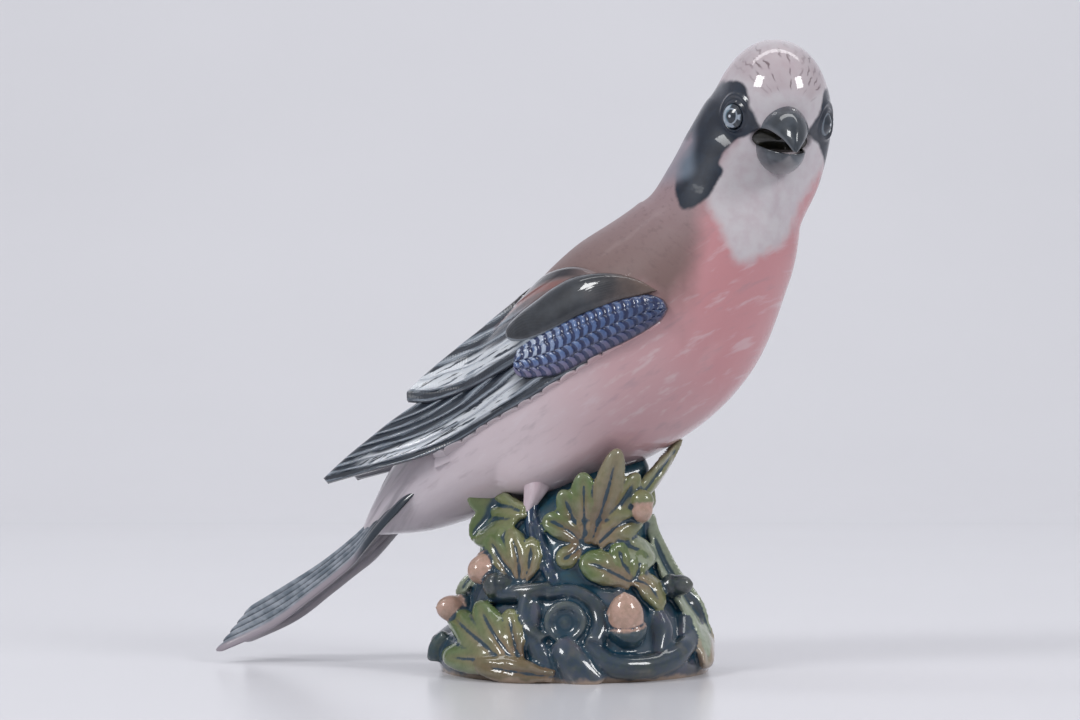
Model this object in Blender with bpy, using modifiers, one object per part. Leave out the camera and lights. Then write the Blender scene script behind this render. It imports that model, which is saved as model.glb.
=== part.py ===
# Jay perched on an oak stump: one slip-cast, fired and glazed porcelain figurine.
# Blender 4.5, metres, +Z up. The origin is the centre of the flat underside.
# The bird is modelled in its own frame (x to its breast, y to its left) and then turned.

import math

import bmesh
import bpy
import numpy as np
from mathutils import Matrix, Vector

# Driving sizes of the figurine
FIGURE_HEIGHT = 0.2085
DRAWN_HEIGHT = 208.5
UNIT = FIGURE_HEIGHT / DRAWN_HEIGHT
BIRD_HEADING = math.radians(-15.0)

# Sizes of the stump, in units of the drawing (a millimetre at the figurine's own height)
FOOT_RADIUS = 44.0
STUMP_TOP = 72.0
LEAF_THICKNESS = 2.4
ACORN_RADIUS = 5.2
ACORN_LENGTH = 17.0
BRANCH_RADIUS = 3.3
KNOB_RADIUS = 7.2
KNOB_REACH = 6.0

# Mesh of the casting: step of the fusing and number of triangles
FUSE_STEP = 0.55
TRIANGLES = 9400
SUNK = 4.0

# Sizes of the bird, in the same units
WING_THICKNESS = 3.0
WING_LIFT = 0.9
FEATHER_STEP = 1.0
LONG_FEATHERS = 6
SHORT_FEATHERS = 5
TAIL_FEATHERS = 5
TAIL_THICKNESS = 4.2
EYE_RADIUS = 3.7
EYELID_RADIUS = 4.9
EYELID_THICKNESS = 0.9

# Body: side-view x and z of the spine, half depth, half width and sideways middle there
BODY_STATIONS = (
    (-77.0, 40.8, 4.5, 6.5, 0.0),
    (-70.4, 45.6, 6.9, 8.5, 0.0),
    (-55.4, 57.0, 13.2, 13.5, 0.0),
    (-36.6, 69.8, 20.2, 20.5, 0.0),
    (-10.4, 87.0, 30.2, 29.0, 0.0),
    (15.3, 106.2, 35.8, 33.5, 0.0),
    (32.6, 121.4, 35.0, 32.0, 0.0),
    (46.7, 140.6, 28.4, 26.0, 0.5),
    (53.6, 156.4, 24.0, 21.5, 1.5),
    (60.3, 171.2, 24.2, 18.5, 3.0),
    (64.0, 184.5, 22.4, 15.0, 4.5),
    (65.2, 194.5, 18.0, 12.0, 4.5),
    (65.8, 201.0, 11.0, 8.5, 4.0),
    (66.0, 204.0, 4.0, 3.0, 3.0),
)

# Head: middle and half sizes, with its turn from the body, nod and lean
HEAD_CENTRE = (67.0, 0.0, 187.0)
HEAD_HALF = (21.0, 18.2, 21.6)
HEAD_TURN = math.radians(-65.0)
HEAD_NOD = math.radians(8.0)
HEAD_LEAN = math.radians(-4.0)
EYE_PLACE = (9.8, 14.8, -3.4)
EYE_OUTWARD = math.radians(53.0)

# Long wing feathers: side-view upper and lower edges from the shoulder to the tip
LONG_UPPER = (
    (34.0, 120.0), (14.0, 122.0), (-4.0, 117.0), (-20.0, 108.0), (-36.0, 98.0),
    (-50.0, 89.0), (-59.0, 83.0), (-66.0, 77.6), (-75.0, 70.6), (-83.3, 63.4),
)
LONG_LOWER = (
    (36.5, 115.5), (27.0, 110.4), (17.0, 104.8), (3.0, 96.6), (-9.0, 89.6),
    (-20.0, 84.0), (-33.0, 76.6), (-46.0, 71.2), (-62.0, 66.8), (-81.5, 61.6),
)

# Short wing feathers: they lie over the long ones and end in a step at the back
SHORT_UPPER = (
    (24.0, 127.5), (8.0, 133.5), (-5.0, 132.3), (-15.0, 127.6), (-24.0, 120.4),
    (-32.0, 113.2), (-40.0, 106.4), (-47.5, 99.8), (-54.8, 92.6),
)
SHORT_LOWER = (
    (22.0, 119.0), (8.0, 114.0), (-4.0, 109.0), (-14.0, 105.0), (-23.0, 101.0),
    (-31.0, 97.0), (-38.0, 93.4), (-45.0, 90.4), (-53.6, 89.2),
)
WING_CLEAR = ((-90.0, 16.0), (-70.0, 19.0), (-50.0, 19.5), (-30.0, 8.0), (-10.0, 3.0), (45.0, 0.0))

# Tail: side-view upper and lower edges from the rump to the feather tips
TAIL_UPPER = ((-50.0, 64.5), (-66.0, 54.5), (-77.0, 43.8), (-90.0, 33.6), (-104.0, 24.8), (-120.0, 15.4))
TAIL_LOWER = ((-50.0, 52.0), (-66.0, 41.0), (-77.0, 32.6), (-90.0, 22.6), (-104.0, 12.6), (-124.0, 3.4))
TAIL_HALF_WIDTH = 11.0

# Stump core: height, radius as a share of the foot radius, and how far its middle stands to the right
STUMP_STATIONS = (
    (0.0, 1.02, 0.0), (5.0, 1.04, 0.0), (12.0, 0.97, 0.0), (24.0, 0.80, -1.0), (34.0, 0.68, -2.5),
    (44.0, 0.60, -3.0), (52.0, 0.53, 0.0), (60.0, 0.43, 5.0), (67.0, 0.33, 10.0), (72.0, 0.18, 14.0),
)
LEAF_BED = (24.0, 2.0)


def metres(points):
    """Turn drawing units into metres."""
    return np.asarray(points, dtype=float) * UNIT


def bird_to_world(points):
    """Turn the bird's own x, y, z into the figurine's x, y, z."""
    points = np.asarray(points, dtype=float)
    cos, sin = math.cos(BIRD_HEADING), math.sin(BIRD_HEADING)
    x, y, z = points[..., 0], points[..., 1], points[..., 2]
    return np.stack([x * cos - y * sin, x * sin + y * cos, z], axis=-1)


def smooth_through(stations, count):
    """Even steps along a smooth curve through every station (Catmull-Rom)."""
    knots = np.asarray(stations, dtype=float)
    padded = np.vstack([2 * knots[0] - knots[1], knots, 2 * knots[-1] - knots[-2]])
    where = np.linspace(0.0, len(knots) - 1.0, count)
    left = np.minimum(where.astype(int), len(knots) - 2)
    t = (where - left)[:, None]
    a, b, c, d = (padded[left + i] for i in range(4))
    return 0.5 * (2 * b + (c - a) * t + (2 * a - 5 * b + 4 * c - d) * t**2 + (3 * b - a - 3 * c + d) * t**3)


def directions(path):
    """Unit direction of travel at every point of a path."""
    step = np.gradient(path, axis=0)
    return step / np.linalg.norm(step, axis=-1, keepdims=True)


def spine(count):
    """The body's sections: middle, half depth, half width, sideways middle and upward normal."""
    stations = smooth_through(BODY_STATIONS, count)
    along = directions(stations[:, :2])
    upward = np.stack([-along[:, 1], along[:, 0]], axis=-1)
    return stations[:, :2], stations[:, 2], stations[:, 3], stations[:, 4], upward


def body_side(x, z):
    """Distance of the body's skin from its middle plane, at a place in the side view."""
    centre, depth, width, _, _ = spine(160)
    gap = np.hypot(x[..., None] - centre[:, 0], z[..., None] - centre[:, 1])
    nearest = gap.argmin(axis=-1)
    share = np.minimum(gap.min(axis=-1) / depth[nearest], 1.0)
    return width[nearest] * np.sqrt(1.0 - share**2)


def material(name, colour, roughness):
    """A plain glazed surface with the part's colour."""
    made = bpy.data.materials.new(name)
    made.use_nodes = True
    shader = made.node_tree.nodes["Principled BSDF"]
    shader.inputs["Base Color"].default_value = (*colour, 1.0)
    shader.inputs["Roughness"].default_value = roughness
    shader.inputs["Metallic"].default_value = 0.0
    return made


def collection(name):
    """A new collection in the scene."""
    made = bpy.data.collections.new(name)
    bpy.context.scene.collection.children.link(made)
    return made


def solid(name, mesh, group):
    """An object for a closed mesh, hidden as one of the shapes that are joined."""
    made = bpy.data.objects.new(name, mesh)
    group.objects.link(made)
    made.hide_render = True
    made.display_type = "WIRE"
    return made


def loft(name, rings, group):
    """A closed solid through rings of points of equal count, with flat or pointed ends."""
    rings = metres(rings)
    count, sides = rings.shape[:2]
    built = bmesh.new()
    rows = [[built.verts.new(point) for point in ring] for ring in rings]
    for low, high in zip(rows[:-1], rows[1:]):
        for i in range(sides):
            j = (i + 1) % sides
            built.faces.new((low[i], low[j], high[j], high[i]))
    built.faces.new(rows[0][::-1])
    built.faces.new(rows[-1])
    bmesh.ops.remove_doubles(built, verts=built.verts, dist=0.02 * UNIT)
    bmesh.ops.dissolve_degenerate(built, edges=built.edges, dist=0.02 * UNIT)
    bmesh.ops.triangulate(built, faces=[f for f in built.faces if len(f.verts) > 4])
    bmesh.ops.recalc_face_normals(built, faces=built.faces)
    mesh = bpy.data.meshes.new(name)
    built.to_mesh(mesh)
    built.free()
    return solid(name, mesh, group)


def slab(name, outer, inner, group):
    """A closed solid between two sheets of points that have the same rows and columns."""
    rings = [np.concatenate([top, bottom[::-1]]) for top, bottom in zip(outer, inner)]
    return loft(name, np.array(rings), group)


def ellipsoid(name, centre, half, turn, group, segments=14, rings=10):
    """An egg or ball from a UV sphere primitive, with its half sizes and its turn."""
    built = bmesh.new()
    bmesh.ops.create_uvsphere(built, u_segments=segments, v_segments=rings, radius=1.0)
    mesh = bpy.data.meshes.new(name)
    built.to_mesh(mesh)
    built.free()
    made = solid(name, mesh, group)
    made.matrix_world = (
        Matrix.Translation(Vector(metres(centre))) @ turn.to_4x4() @ Matrix.Diagonal((*metres(half), 1.0))
    )
    return made


def turned(name, profile, steps, placed, group):
    """A turned solid: a profile of radius and height, spun about its own axis by a Screw."""
    mesh = bpy.data.meshes.new(name)
    points = [(radius * UNIT, 0.0, height * UNIT) for radius, height in profile]
    edges = [(i, i + 1) for i in range(len(points) - 1)]
    mesh.from_pydata(points, edges, [])
    made = solid(name, mesh, group)
    made.matrix_world = placed
    spin = made.modifiers.new("Spin", "SCREW")
    spin.axis = "Z"
    spin.steps = steps
    spin.render_steps = steps
    spin.use_merge_vertices = True
    spin.merge_threshold = 0.00005
    spin.use_normal_calculate = True
    return made


def axis_turn(direction):
    """The turn that lays a thing's own +Z along a direction."""
    return Vector(direction).to_track_quat("Z", "Y").to_matrix()


def tube(name, points, radii, group, sides=10):
    """A round branch: a smooth path with a radius at each point, closed at both ends."""
    path = smooth_through(points, 4 * len(points) - 3)
    radius = smooth_through(np.array(radii, dtype=float)[:, None], len(path))[:, 0]
    along = directions(path)
    start = np.array((0.0, 0.0, 1.0)) if abs(along[0][2]) < 0.9 else np.array((1.0, 0.0, 0.0))
    side = np.cross(along[0], start)
    rings = []
    angles = np.linspace(0.0, 2 * math.pi, sides, endpoint=False)
    for point, heading, r in zip(path, along, radius):
        side = side - heading * np.dot(side, heading)
        side = side / np.linalg.norm(side)
        other = np.cross(heading, side)
        rings.append(point + r * (np.cos(angles)[:, None] * side + np.sin(angles)[:, None] * other))
    return loft(name, np.array(rings), group)


# Bird

def body_rings(count, sides):
    """Rings of the body from the rump to the crown."""
    angles = np.linspace(0.0, 2 * math.pi, sides, endpoint=False)
    rings = []
    for middle, half_depth, half_width, aside, normal in zip(*spine(count)):
        x = middle[0] + half_depth * np.cos(angles) * normal[0]
        z = middle[1] + half_depth * np.cos(angles) * normal[1]
        rings.append(np.stack([x, aside + half_width * np.sin(angles), z], axis=-1))
    return np.array(rings)


def make_body(group):
    """Body and neck as one loft along the spine."""
    return loft("body", bird_to_world(body_rings(34, 32)), group)


def head_frame():
    """Directions of the head in the figurine's frame: forward, to its left and up."""
    turn = (
        Matrix.Rotation(BIRD_HEADING + HEAD_TURN, 3, "Z")
        @ Matrix.Rotation(HEAD_NOD, 3, "Y")
        @ Matrix.Rotation(HEAD_LEAN, 3, "X")
    )
    return turn


def head_point(forward, left, up):
    """A place given from the middle of the head, in drawing units of the figurine."""
    centre = Vector(bird_to_world(HEAD_CENTRE))
    return centre + head_frame() @ Vector((forward, left, up))


def half_ring(width, height, sides, flat):
    """Half an ellipse over a nearly flat edge: the section of one half of the bill."""
    angles = np.linspace(0.0, math.pi, sides)
    arch = np.stack([width * np.cos(angles), height * np.sin(angles)], axis=-1)
    edge = np.linspace(-0.6, 0.6, 3)
    closing = np.stack([width * edge, np.full(3, flat)], axis=-1)
    return np.concatenate([arch, closing])


def bill_half(name, stations, upper, group):
    """Half of the bill: sections (forward, height of the edge, width, depth) along the head."""
    rings = []
    for forward, rise, width, depth in smooth_through(stations, 7):
        ring = half_ring(width, depth, 9, 0.12 * depth)
        if not upper:
            ring = ring * np.array((1.0, -1.0))
        rings.append([head_point(forward, across, rise + height) for across, height in ring])
    return loft(name, np.array([[tuple(p) for p in ring] for ring in rings]), group)


def make_head(group):
    """Head, open bill, eyes and their lids."""
    turn = head_frame()
    ellipsoid("head", head_point(0, 0, 0), HEAD_HALF, turn, group, 28, 20)
    bill_half(
        "bill_upper",
        ((14.0, -6.0, 7.9, 7.6), (22.5, -6.6, 6.8, 6.8), (28.5, -8.0, 4.8, 5.4), (34.2, -12.4, 1.4, 3.6)),
        True,
        group,
    )
    bill_half(
        "bill_lower",
        ((14.0, -12.6, 7.8, 8.4), (19.0, -13.0, 7.4, 8.0), (24.0, -13.4, 5.2, 5.8), (27.6, -13.8, 2.4, 2.8)),
        False,
        group,
    )
    for side in (1, -1):
        forward, out, up = EYE_PLACE
        place = head_point(forward, side * out, up)
        facing = turn @ Vector((math.cos(EYE_OUTWARD), side * math.sin(EYE_OUTWARD), 0.0))
        lie = axis_turn(facing)
        ellipsoid(f"eye_{side}", place, (EYE_RADIUS,) * 3, lie, group, 10, 6)
        turned(
            f"eyelid_{side}",
            (
                (EYELID_RADIUS - EYELID_THICKNESS, 1.2),
                (EYELID_RADIUS, 2.0),
                (EYELID_RADIUS + EYELID_THICKNESS, 0.8),
                (EYELID_RADIUS, -2.5),
                (EYELID_RADIUS - EYELID_THICKNESS, 1.2),
            ),
            12,
            Matrix.Translation(Vector(metres(place))) @ lie.to_4x4(),
            group,
        )


def feather_steps(across, feathers):
    """Height of overlapping feathers across a wing: a slow rise and a short drop for each."""
    phase = (across * feathers) % 1.0
    return FEATHER_STEP * np.where(phase < 0.8, phase / 0.8, (1.0 - phase) / 0.2)


def feather_columns(feathers):
    """Places across a wing where its stepped section has a corner."""
    marks = [(k + part) / feathers for k in range(feathers) for part in (0.0, 0.8)]
    return np.array(marks + [1.0])


def wing_point(edges, along, across, lift):
    """A point of the right wing: along from shoulder to tip, across from upper to lower edge."""
    steps = np.linspace(0.0, 1.0, 121)
    upper, lower = (smooth_through(edge, len(steps)) for edge in edges)
    ux, uz = (np.interp(along, steps, upper[:, i]) for i in range(2))
    lx, lz = (np.interp(along, steps, lower[:, i]) for i in range(2))
    x = ux + (lx - ux) * across
    z = uz + (lz - uz) * across
    clear = np.array(WING_CLEAR)
    side = np.maximum(body_side(x, z), np.interp(x, clear[:, 0], clear[:, 1]))
    return np.stack([x, -(side + lift), z], axis=-1)


def wing_slab(name, edges, rows, columns, lift, depth, side, group):
    """A closed sheet on the wing, raised by one grid of lifts and sunk by another."""
    along, across = np.meshgrid(rows, columns, indexing="ij")
    outer = wing_point(edges, along, across, lift)
    inner = wing_point(edges, along, across, -depth)
    for sheet in (outer, inner):
        sheet[..., 1] *= -side
    return slab(name, bird_to_world(outer), bird_to_world(inner), group)


def make_wing(name, side, group):
    """A folded wing: long feathers, shorter ones over them, the barred panel and the dark coverts."""
    layers = (
        ("long", (LONG_UPPER, LONG_LOWER), LONG_FEATHERS, 0.0),
        ("short", (SHORT_UPPER, SHORT_LOWER), SHORT_FEATHERS, 1.3),
    )
    for layer, edges, feathers, raised in layers:
        rows = np.linspace(0.0, 1.0, 9)
        columns = feather_columns(feathers)
        along, across = np.meshgrid(rows, columns, indexing="ij")
        rim = np.sin(math.pi * np.clip(across, 0.05, 0.95)) ** 0.5
        tip = np.sin(math.pi * np.clip(along, 0.0, 0.97)) ** 0.5 - 0.6 * (1.0 - np.clip(along / 0.12, 0.0, 1.0))
        fade = np.clip((along - 0.2) / 0.3, 0.0, 1.0)
        lift = (WING_LIFT + raised + feather_steps(across, feathers) * fade) * rim * tip
        depth = WING_THICKNESS * rim * np.maximum(tip, 0.3) + 0.2
        wing_slab(f"{name}_{layer}", edges, rows, columns, lift, depth, side, group)
    pads = (
        ("panel", (LONG_UPPER, LONG_LOWER), 0.02, 0.475, 0.10, 0.93, 3.4),
        ("oval", (SHORT_UPPER, SHORT_LOWER), 0.04, 0.52, 0.30, 1.0, 2.9),
    )
    for pad, edges, first, last, top, bottom, height in pads:
        share = np.linspace(0.0, 1.0, 8)
        round_off = np.maximum(1.0 - (2 * share - 1) ** 4, 0.04) ** 0.5
        columns = np.linspace(0.0, 1.0, 5)
        along = first + (last - first) * share[:, None] + 0.0 * columns
        middle = 0.5 * (top + bottom)
        across = middle + (columns - 0.5) * (bottom - top) * round_off[:, None]
        dome = height * np.sin(math.pi * np.clip(columns, 0.04, 0.96)) ** 0.5 * round_off[:, None] ** 0.5
        outer = wing_point(edges, along, across, dome)
        inner = wing_point(edges, along, across, np.full_like(dome, -1.4))
        for sheet in (outer, inner):
            sheet[..., 1] *= -side
        slab(f"{name}_{pad}", bird_to_world(outer), bird_to_world(inner), group)


def make_tail(group):
    """The tail: long feathers lying on one another like roof slates, with stepped tips."""
    rows = 7
    upper = smooth_through(TAIL_UPPER, rows)
    lower = smooth_through(TAIL_LOWER, rows)
    for index in range(TAIL_FEATHERS):
        share = index / (TAIL_FEATHERS - 1)
        low = upper + (lower - upper) * (share * 0.72)
        high = upper + (lower - upper) * (share * 0.72 + 0.34)
        shift = TAIL_HALF_WIDTH * share
        for side in (1, -1):
            rings = []
            reach = 1.0 - 0.05 * (1.0 - share) * (1 + side) / 2
            for row, (top, bottom) in enumerate(zip(low, high)):
                t = row / (rows - 1)
                narrow = 0.72 if t > 0.98 else 1.0
                spread = shift * (0.45 + 0.55 * t)
                half = 0.5 * TAIL_THICKNESS * (1.0 - 0.35 * t)
                top_point = np.array((top[0], side * spread * 0.85, top[1]))
                bottom_point = np.array((bottom[0], side * (spread + half), bottom[1]))
                middle = 0.5 * (top_point + bottom_point)
                arm = 0.5 * (bottom_point - top_point) * narrow
                out = np.array((0.0, side * half, 0.35 * half))
                angles = np.linspace(0.0, 2 * math.pi, 6, endpoint=False)
                ring = middle + np.cos(angles)[:, None] * arm + np.sin(angles)[:, None] * out
                rings.append(ring + np.array(((1 - reach) * 12.0 * t, 0.0, 0.0)))
            loft(f"tail_feather_{index}_{side}", bird_to_world(np.array(rings)), group)


def make_legs(group):
    """Feathered thighs and the legs that grip the stump: each leg's places as angle, height and lift."""
    legs = (
        (-1, ((-28.35, 45.0, -3.15), (-15.3, 30.0, -4.35))),
        (1, ((177.55, 45.0, -1.75), (165.25, 30.0, -3.35))),
    )
    for side, places in legs:
        lie = Matrix.Rotation(BIRD_HEADING, 3, "Z") @ Matrix.Rotation(math.radians(-28.0), 3, "Y")
        middle = bird_to_world((-2.0, side * 11.5, 70.0))
        ellipsoid(f"thigh_{side}", middle, (27.0, 13.0, 15.0), lie, group, 20, 14)
        tuft = ((-7.0, side * 15.0, 66.0), (-9.5, side * 19.5, 59.5), (-10.6, side * 21.0, 52.5))
        tube(f"tuft_{side}", bird_to_world(tuft), (7.0, 4.6, 1.6), group)
        leg = [bird_to_world((-10.2, side * 18.5, 57.0))]
        leg += [on_stump(np.array(angle), np.array(z), lift) for angle, z, lift in places]
        tube(f"leg_{side}", np.array(leg), (2.4, 2.6, 3.0), group)


# Stump

def stump_section(z):
    """Radius and sideways middle of the stump's core at a height."""
    stations = smooth_through(STUMP_STATIONS, 60)
    radius = FOOT_RADIUS * np.interp(z, stations[:, 0], stations[:, 1])
    return radius, np.interp(z, stations[:, 0], stations[:, 2])


def on_stump(angle, z, lift=0.0, bed=False):
    """A place on the stump, or on the bed of the upper leaves: degrees from the front, height, lift."""
    turn = np.radians(angle)
    radius, middle = stump_section(z)
    if bed:
        inside = radius < LEAF_BED[0]
        radius = np.where(inside, LEAF_BED[0], radius)
        middle = np.where(inside, np.minimum(middle, LEAF_BED[1]), middle)
    reach = radius + lift
    return np.stack([middle + reach * np.sin(turn), -reach * np.cos(turn), z + 0.0 * turn], axis=-1)


def make_core(group):
    """The stump's core, with shallow ribs and a flat underside."""
    heights = np.concatenate([[-SUNK], np.linspace(0.0, STUMP_TOP, 14)])
    sides = 40
    angles = np.linspace(0.0, 360.0, sides, endpoint=False)
    rings = []
    for z in heights:
        rib = 0.9 * np.sin(np.radians(angles * 5 + z * 2.0)) * math.sin(math.pi * min(1.0, z / 20.0) * 0.5)
        rings.append(on_stump(angles, np.full(sides, z), rib))
    return loft("stump_core", np.array(rings), group)


def leaf_width(share, lobes):
    """Half width of an oak leaf as a share of its greatest: round lobes with a notch between each two."""
    rise = np.clip(share / 0.55, 0.0, 1.0)
    body = 0.42 + 0.58 * rise * rise * (3.0 - 2.0 * rise)
    tip = np.sqrt(np.clip(1.0 - (np.clip(share - 0.76, 0.0, 1.0) / 0.24) ** 2, 0.0, 1.0))
    between = (share > 0.5 / lobes) & (share < 1.0 - 0.5 / lobes)
    notch = 1.0 - 0.40 * np.abs(np.cos(math.pi * lobes * share)) ** 4 * between
    return np.maximum(body * tip * notch, 0.08)


def make_leaf(name, root, tip, width, lifts, bow, lobes, group):
    """An oak leaf over the stump: root and tip as (angle, height), lifts at root, middle, tip."""
    share = np.linspace(0.0, 1.0, 6 + 6 * lobes)
    columns = np.linspace(-1.0, 1.0, 5)
    angle = root[0] + (tip[0] - root[0]) * share + bow * np.sin(math.pi * share)
    height = root[1] + (tip[1] - root[1]) * share
    lift = np.interp(share, (0.0, 0.5, 1.0), lifts)
    midrib = on_stump(angle, height, lift, bed=True)
    outward = on_stump(angle, height, lift + 1.0, bed=True) - midrib
    outward = outward / np.linalg.norm(outward, axis=-1, keepdims=True)
    along = directions(midrib)
    side = np.cross(along, outward)
    side = side / np.linalg.norm(side, axis=-1, keepdims=True)
    up = np.cross(side, along)
    half = width * leaf_width(share, lobes)
    outer = []
    inner = []
    for column in columns:
        spread = midrib + side * (half * column)[:, None]
        sag = -0.28 * np.abs(half * column) ** 1.2
        puff = 0.9 * math.sin(math.pi * abs(column)) * half / width
        outer.append(spread + up * (sag + puff)[:, None])
        inner.append(spread + up * (sag - LEAF_THICKNESS - 1.2)[:, None])
    outer = np.stack(outer, axis=1)
    inner = np.stack(inner, axis=1)
    for sheet in (outer, inner):
        sheet[..., 2] = np.maximum(sheet[..., 2], -0.5 * SUNK)
    return slab(name, outer, inner, group)


def make_leaves(group):
    """The leaves that show, in the order that they overlap, then plainer ones round the back."""
    leaves = (
        ("leaf_low_left", (-4, 4.0), (-76, 15.0), 12.5, (1.5, 3.0, 1.5), 0, 3),
        ("leaf_side_left", (-62, 34.0), (-82, 54.0), 8.5, (1.0, 3.0, 8.0), 0, 2),
        ("leaf_near_left", (-34, 27.0), (-47, 51.0), 9.4, (1.5, 3.5, 4.5), 0, 2),
        ("leaf_left_centre", (14, 38.0), (-20, 53.0), 7.2, (1.0, 3.0, 3.0), 0, 1),
        ("leaf_left_below", (14, 36.0), (-6, 42.0), 5.0, (1.0, 3.0, 3.0), 0, 1),
        ("leaf_upright_left", (8, 42.0), (5, 66.5), 5.6, (1.5, 3.0, 3.0), -3, 1),
        ("leaf_tall", (10, 43.0), (32, 75.0), 6.0, (2.0, 4.0, 6.0), 4, 1),
        ("leaf_upright_right", (24, 42.0), (42, 66.0), 5.6, (1.5, 3.5, 5.0), 0, 1),
        ("leaf_right_centre", (33, 40.0), (46, 58.0), 6.4, (1.5, 3.5, 3.5), 0, 1),
        ("leaf_point", (50, 54.0), (76, 77.0), 4.4, (2.0, 5.0, 10.0), 0, 1),
        ("leaf_low_right", (0, 38.0), (58, 26.0), 8.6, (2.0, 3.8, 3.0), 6, 2),
        ("leaf_drape", (78, 50.0), (74, 5.0), 6.2, (1.5, 3.0, 2.5), 6, 3),
        ("leaf_foot_right", (30, 16.0), (84, 10.0), 8.0, (0.5, 2.5, 2.0), 0, 3),
    )
    for name, root, tip, width, lifts, bow, lobes in leaves:
        make_leaf(name, root, tip, width, lifts, bow, lobes, group)
    for index in range(5):
        angle = 112 + index * 34
        low = ((angle - 14, 6.0), (angle + 16, 27.0), 9.0, (1.0, 2.5, 1.5))
        high = ((angle, 30.0), (angle + 8, 62.0), 7.2, (1.0, 3.0, 3.5))
        make_leaf(f"leaf_back_low_{index}", *low, 0, 2, group)
        make_leaf(f"leaf_back_high_{index}", *high, 0, 2, group)


def make_acorn(name, place, direction, size, group):
    """An acorn in its cup; the direction runs from the cup to the nut's tip."""
    radius = ACORN_RADIUS * size
    length = ACORN_LENGTH * size
    profile = (
        (0.0, -0.34 * length), (0.75 * radius, -0.27 * length), (1.12 * radius, -0.12 * length),
        (1.16 * radius, 0.04 * length), (0.98 * radius, 0.07 * length), (1.0 * radius, 0.25 * length),
        (0.82 * radius, 0.45 * length), (0.42 * radius, 0.58 * length), (0.0, 0.66 * length),
    )
    placed = Matrix.Translation(Vector(metres(place))) @ axis_turn(direction).to_4x4()
    return turned(name, profile, 16, placed, group)


def make_acorns(group):
    """Acorns between the leaves, each at an angle from the front, a height and a lift off the stump."""
    acorns = (
        ("acorn_front", 23.0, 17.0, 2.2, (-0.06, -0.25, 1.0), 1.10),
        ("acorn_left", -57.8, 34.5, 2.15, (-0.75, -0.3, -0.6), 0.84),
        ("acorn_far_left", -73.1, 20.0, 3.5, (-1.0, -0.1, 0.2), 0.62),
        ("acorn_high_right", 40.3, 57.0, 6.15, (0.05, -0.1, -1.0), 0.66),
        ("acorn_right", 64.3, 29.0, 4.5, (1.0, -0.3, 0.1), 0.62),
        ("acorn_back", 167.5, 18.0, 0.0, (0.1, 0.4, 1.0), 0.95),
    )
    for name, angle, height, lift, direction, size in acorns:
        place = on_stump(np.array(angle), np.array(height), lift, bed=height > 50.0)
        make_acorn(name, tuple(place), direction, size, group)


def make_branches(group):
    """Twigs that wind round the foot, and the sawn knob at the front."""
    route = (
        (-0.67, 26.1), (-0.27, 27.8), (-0.07, 30.5), (0.12, 26.5), (0.17, 18.5), (0.10, 10.6),
        (0.19, 5.6), (0.37, 4.4), (0.56, 5.8), (0.74, 9.4), (0.85, 15.2), (0.82, 21.0), (0.65, 25.0),
    )
    points = []
    for share, z in route:
        x = share * FOOT_RADIUS
        reach = stump_section(z)[0] + 1.6
        points.append((x, -math.sqrt(max(reach**2 - x**2, (0.27 * FOOT_RADIUS) ** 2)), z))
    tube("twig_front", points, [BRANCH_RADIUS] * len(points), group)
    roots = (
        ("root_front", ((-5.8, 14.0, -3.3), (0.65, 7.0, -4.2), (4.1, 1.5, -3.7)), (3.4, 3.8, 4.2)),
        ("root_left", ((-76.9, 12.5, 1.7), (-78.95, 8.5, 2.4), (-79.05, 3.6, 1.55)), (2.2, 2.8, 3.2)),
    )
    for name, stations, radii in roots:
        points = [tuple(on_stump(np.array(angle), np.array(z), lift)) for angle, z, lift in stations]
        tube(name, points, radii, group)
    ring = ((100, 12), (135, 26), (170, 20), (205, 30), (240, 14), (265, 8))
    back = [tuple(on_stump(np.array(a), np.array(z), 1.0)) for a, z in ring]
    tube("twig_back", back, [BRANCH_RADIUS] * len(back), group)
    place = on_stump(np.array(-4.4), np.array(18.6), -2.0)
    placed = Matrix.Translation(Vector(metres(place))) @ axis_turn((-0.08, -1.0, 0.12)).to_4x4()
    r = KNOB_RADIUS
    out = KNOB_REACH
    rim = (
        (0.0, -6.0), (0.9 * r, -6.0), (r, out - 1.9), (0.86 * r, out), (0.66 * r, out - 0.2),
        (0.55 * r, out - 1.4), (0.0, out - 1.6),
    )
    turned("knob", rim, 16, placed, group)
    fold = on_stump(np.array(43.15), np.array(14.0), -0.4)
    ellipsoid("fold_right", fold, (8.5, 6.0, 9.0), axis_turn((0.6, -0.8, 0.0)), group, 12, 8)


def joined(name, shapes):
    """One mesh that holds every shape as it stands."""
    depsgraph = bpy.context.evaluated_depsgraph_get()
    built = bmesh.new()
    for item in shapes.objects:
        mesh = bpy.data.meshes.new_from_object(item.evaluated_get(depsgraph))
        mesh.transform(item.matrix_world)
        built.from_mesh(mesh)
        bpy.data.meshes.remove(mesh)
    mesh = bpy.data.meshes.new(name)
    built.to_mesh(mesh)
    built.free()
    return mesh


def cast(name, shapes, group):
    """Fuse the shapes into one casting and thin it out to a light mesh."""
    casting = bpy.data.objects.new(name, joined(name, shapes))
    group.objects.link(casting)
    fuse = casting.modifiers.new("Fuse", "REMESH")
    fuse.mode = "VOXEL"
    fuse.voxel_size = FUSE_STEP * UNIT
    soften = casting.modifiers.new("Soften", "SMOOTH")
    soften.factor = 0.5
    soften.iterations = 2
    bpy.context.view_layer.update()
    fused = casting.evaluated_get(bpy.context.evaluated_depsgraph_get())
    triangles = 2 * len(fused.data.polygons)
    thin = casting.modifiers.new("Thin", "DECIMATE")
    thin.ratio = TRIANGLES / triangles
    bpy.context.view_layer.update()
    depsgraph = bpy.context.evaluated_depsgraph_get()
    mesh = bpy.data.meshes.new_from_object(casting.evaluated_get(depsgraph))
    casting.modifiers.clear()
    casting.data = mesh
    return casting


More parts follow.
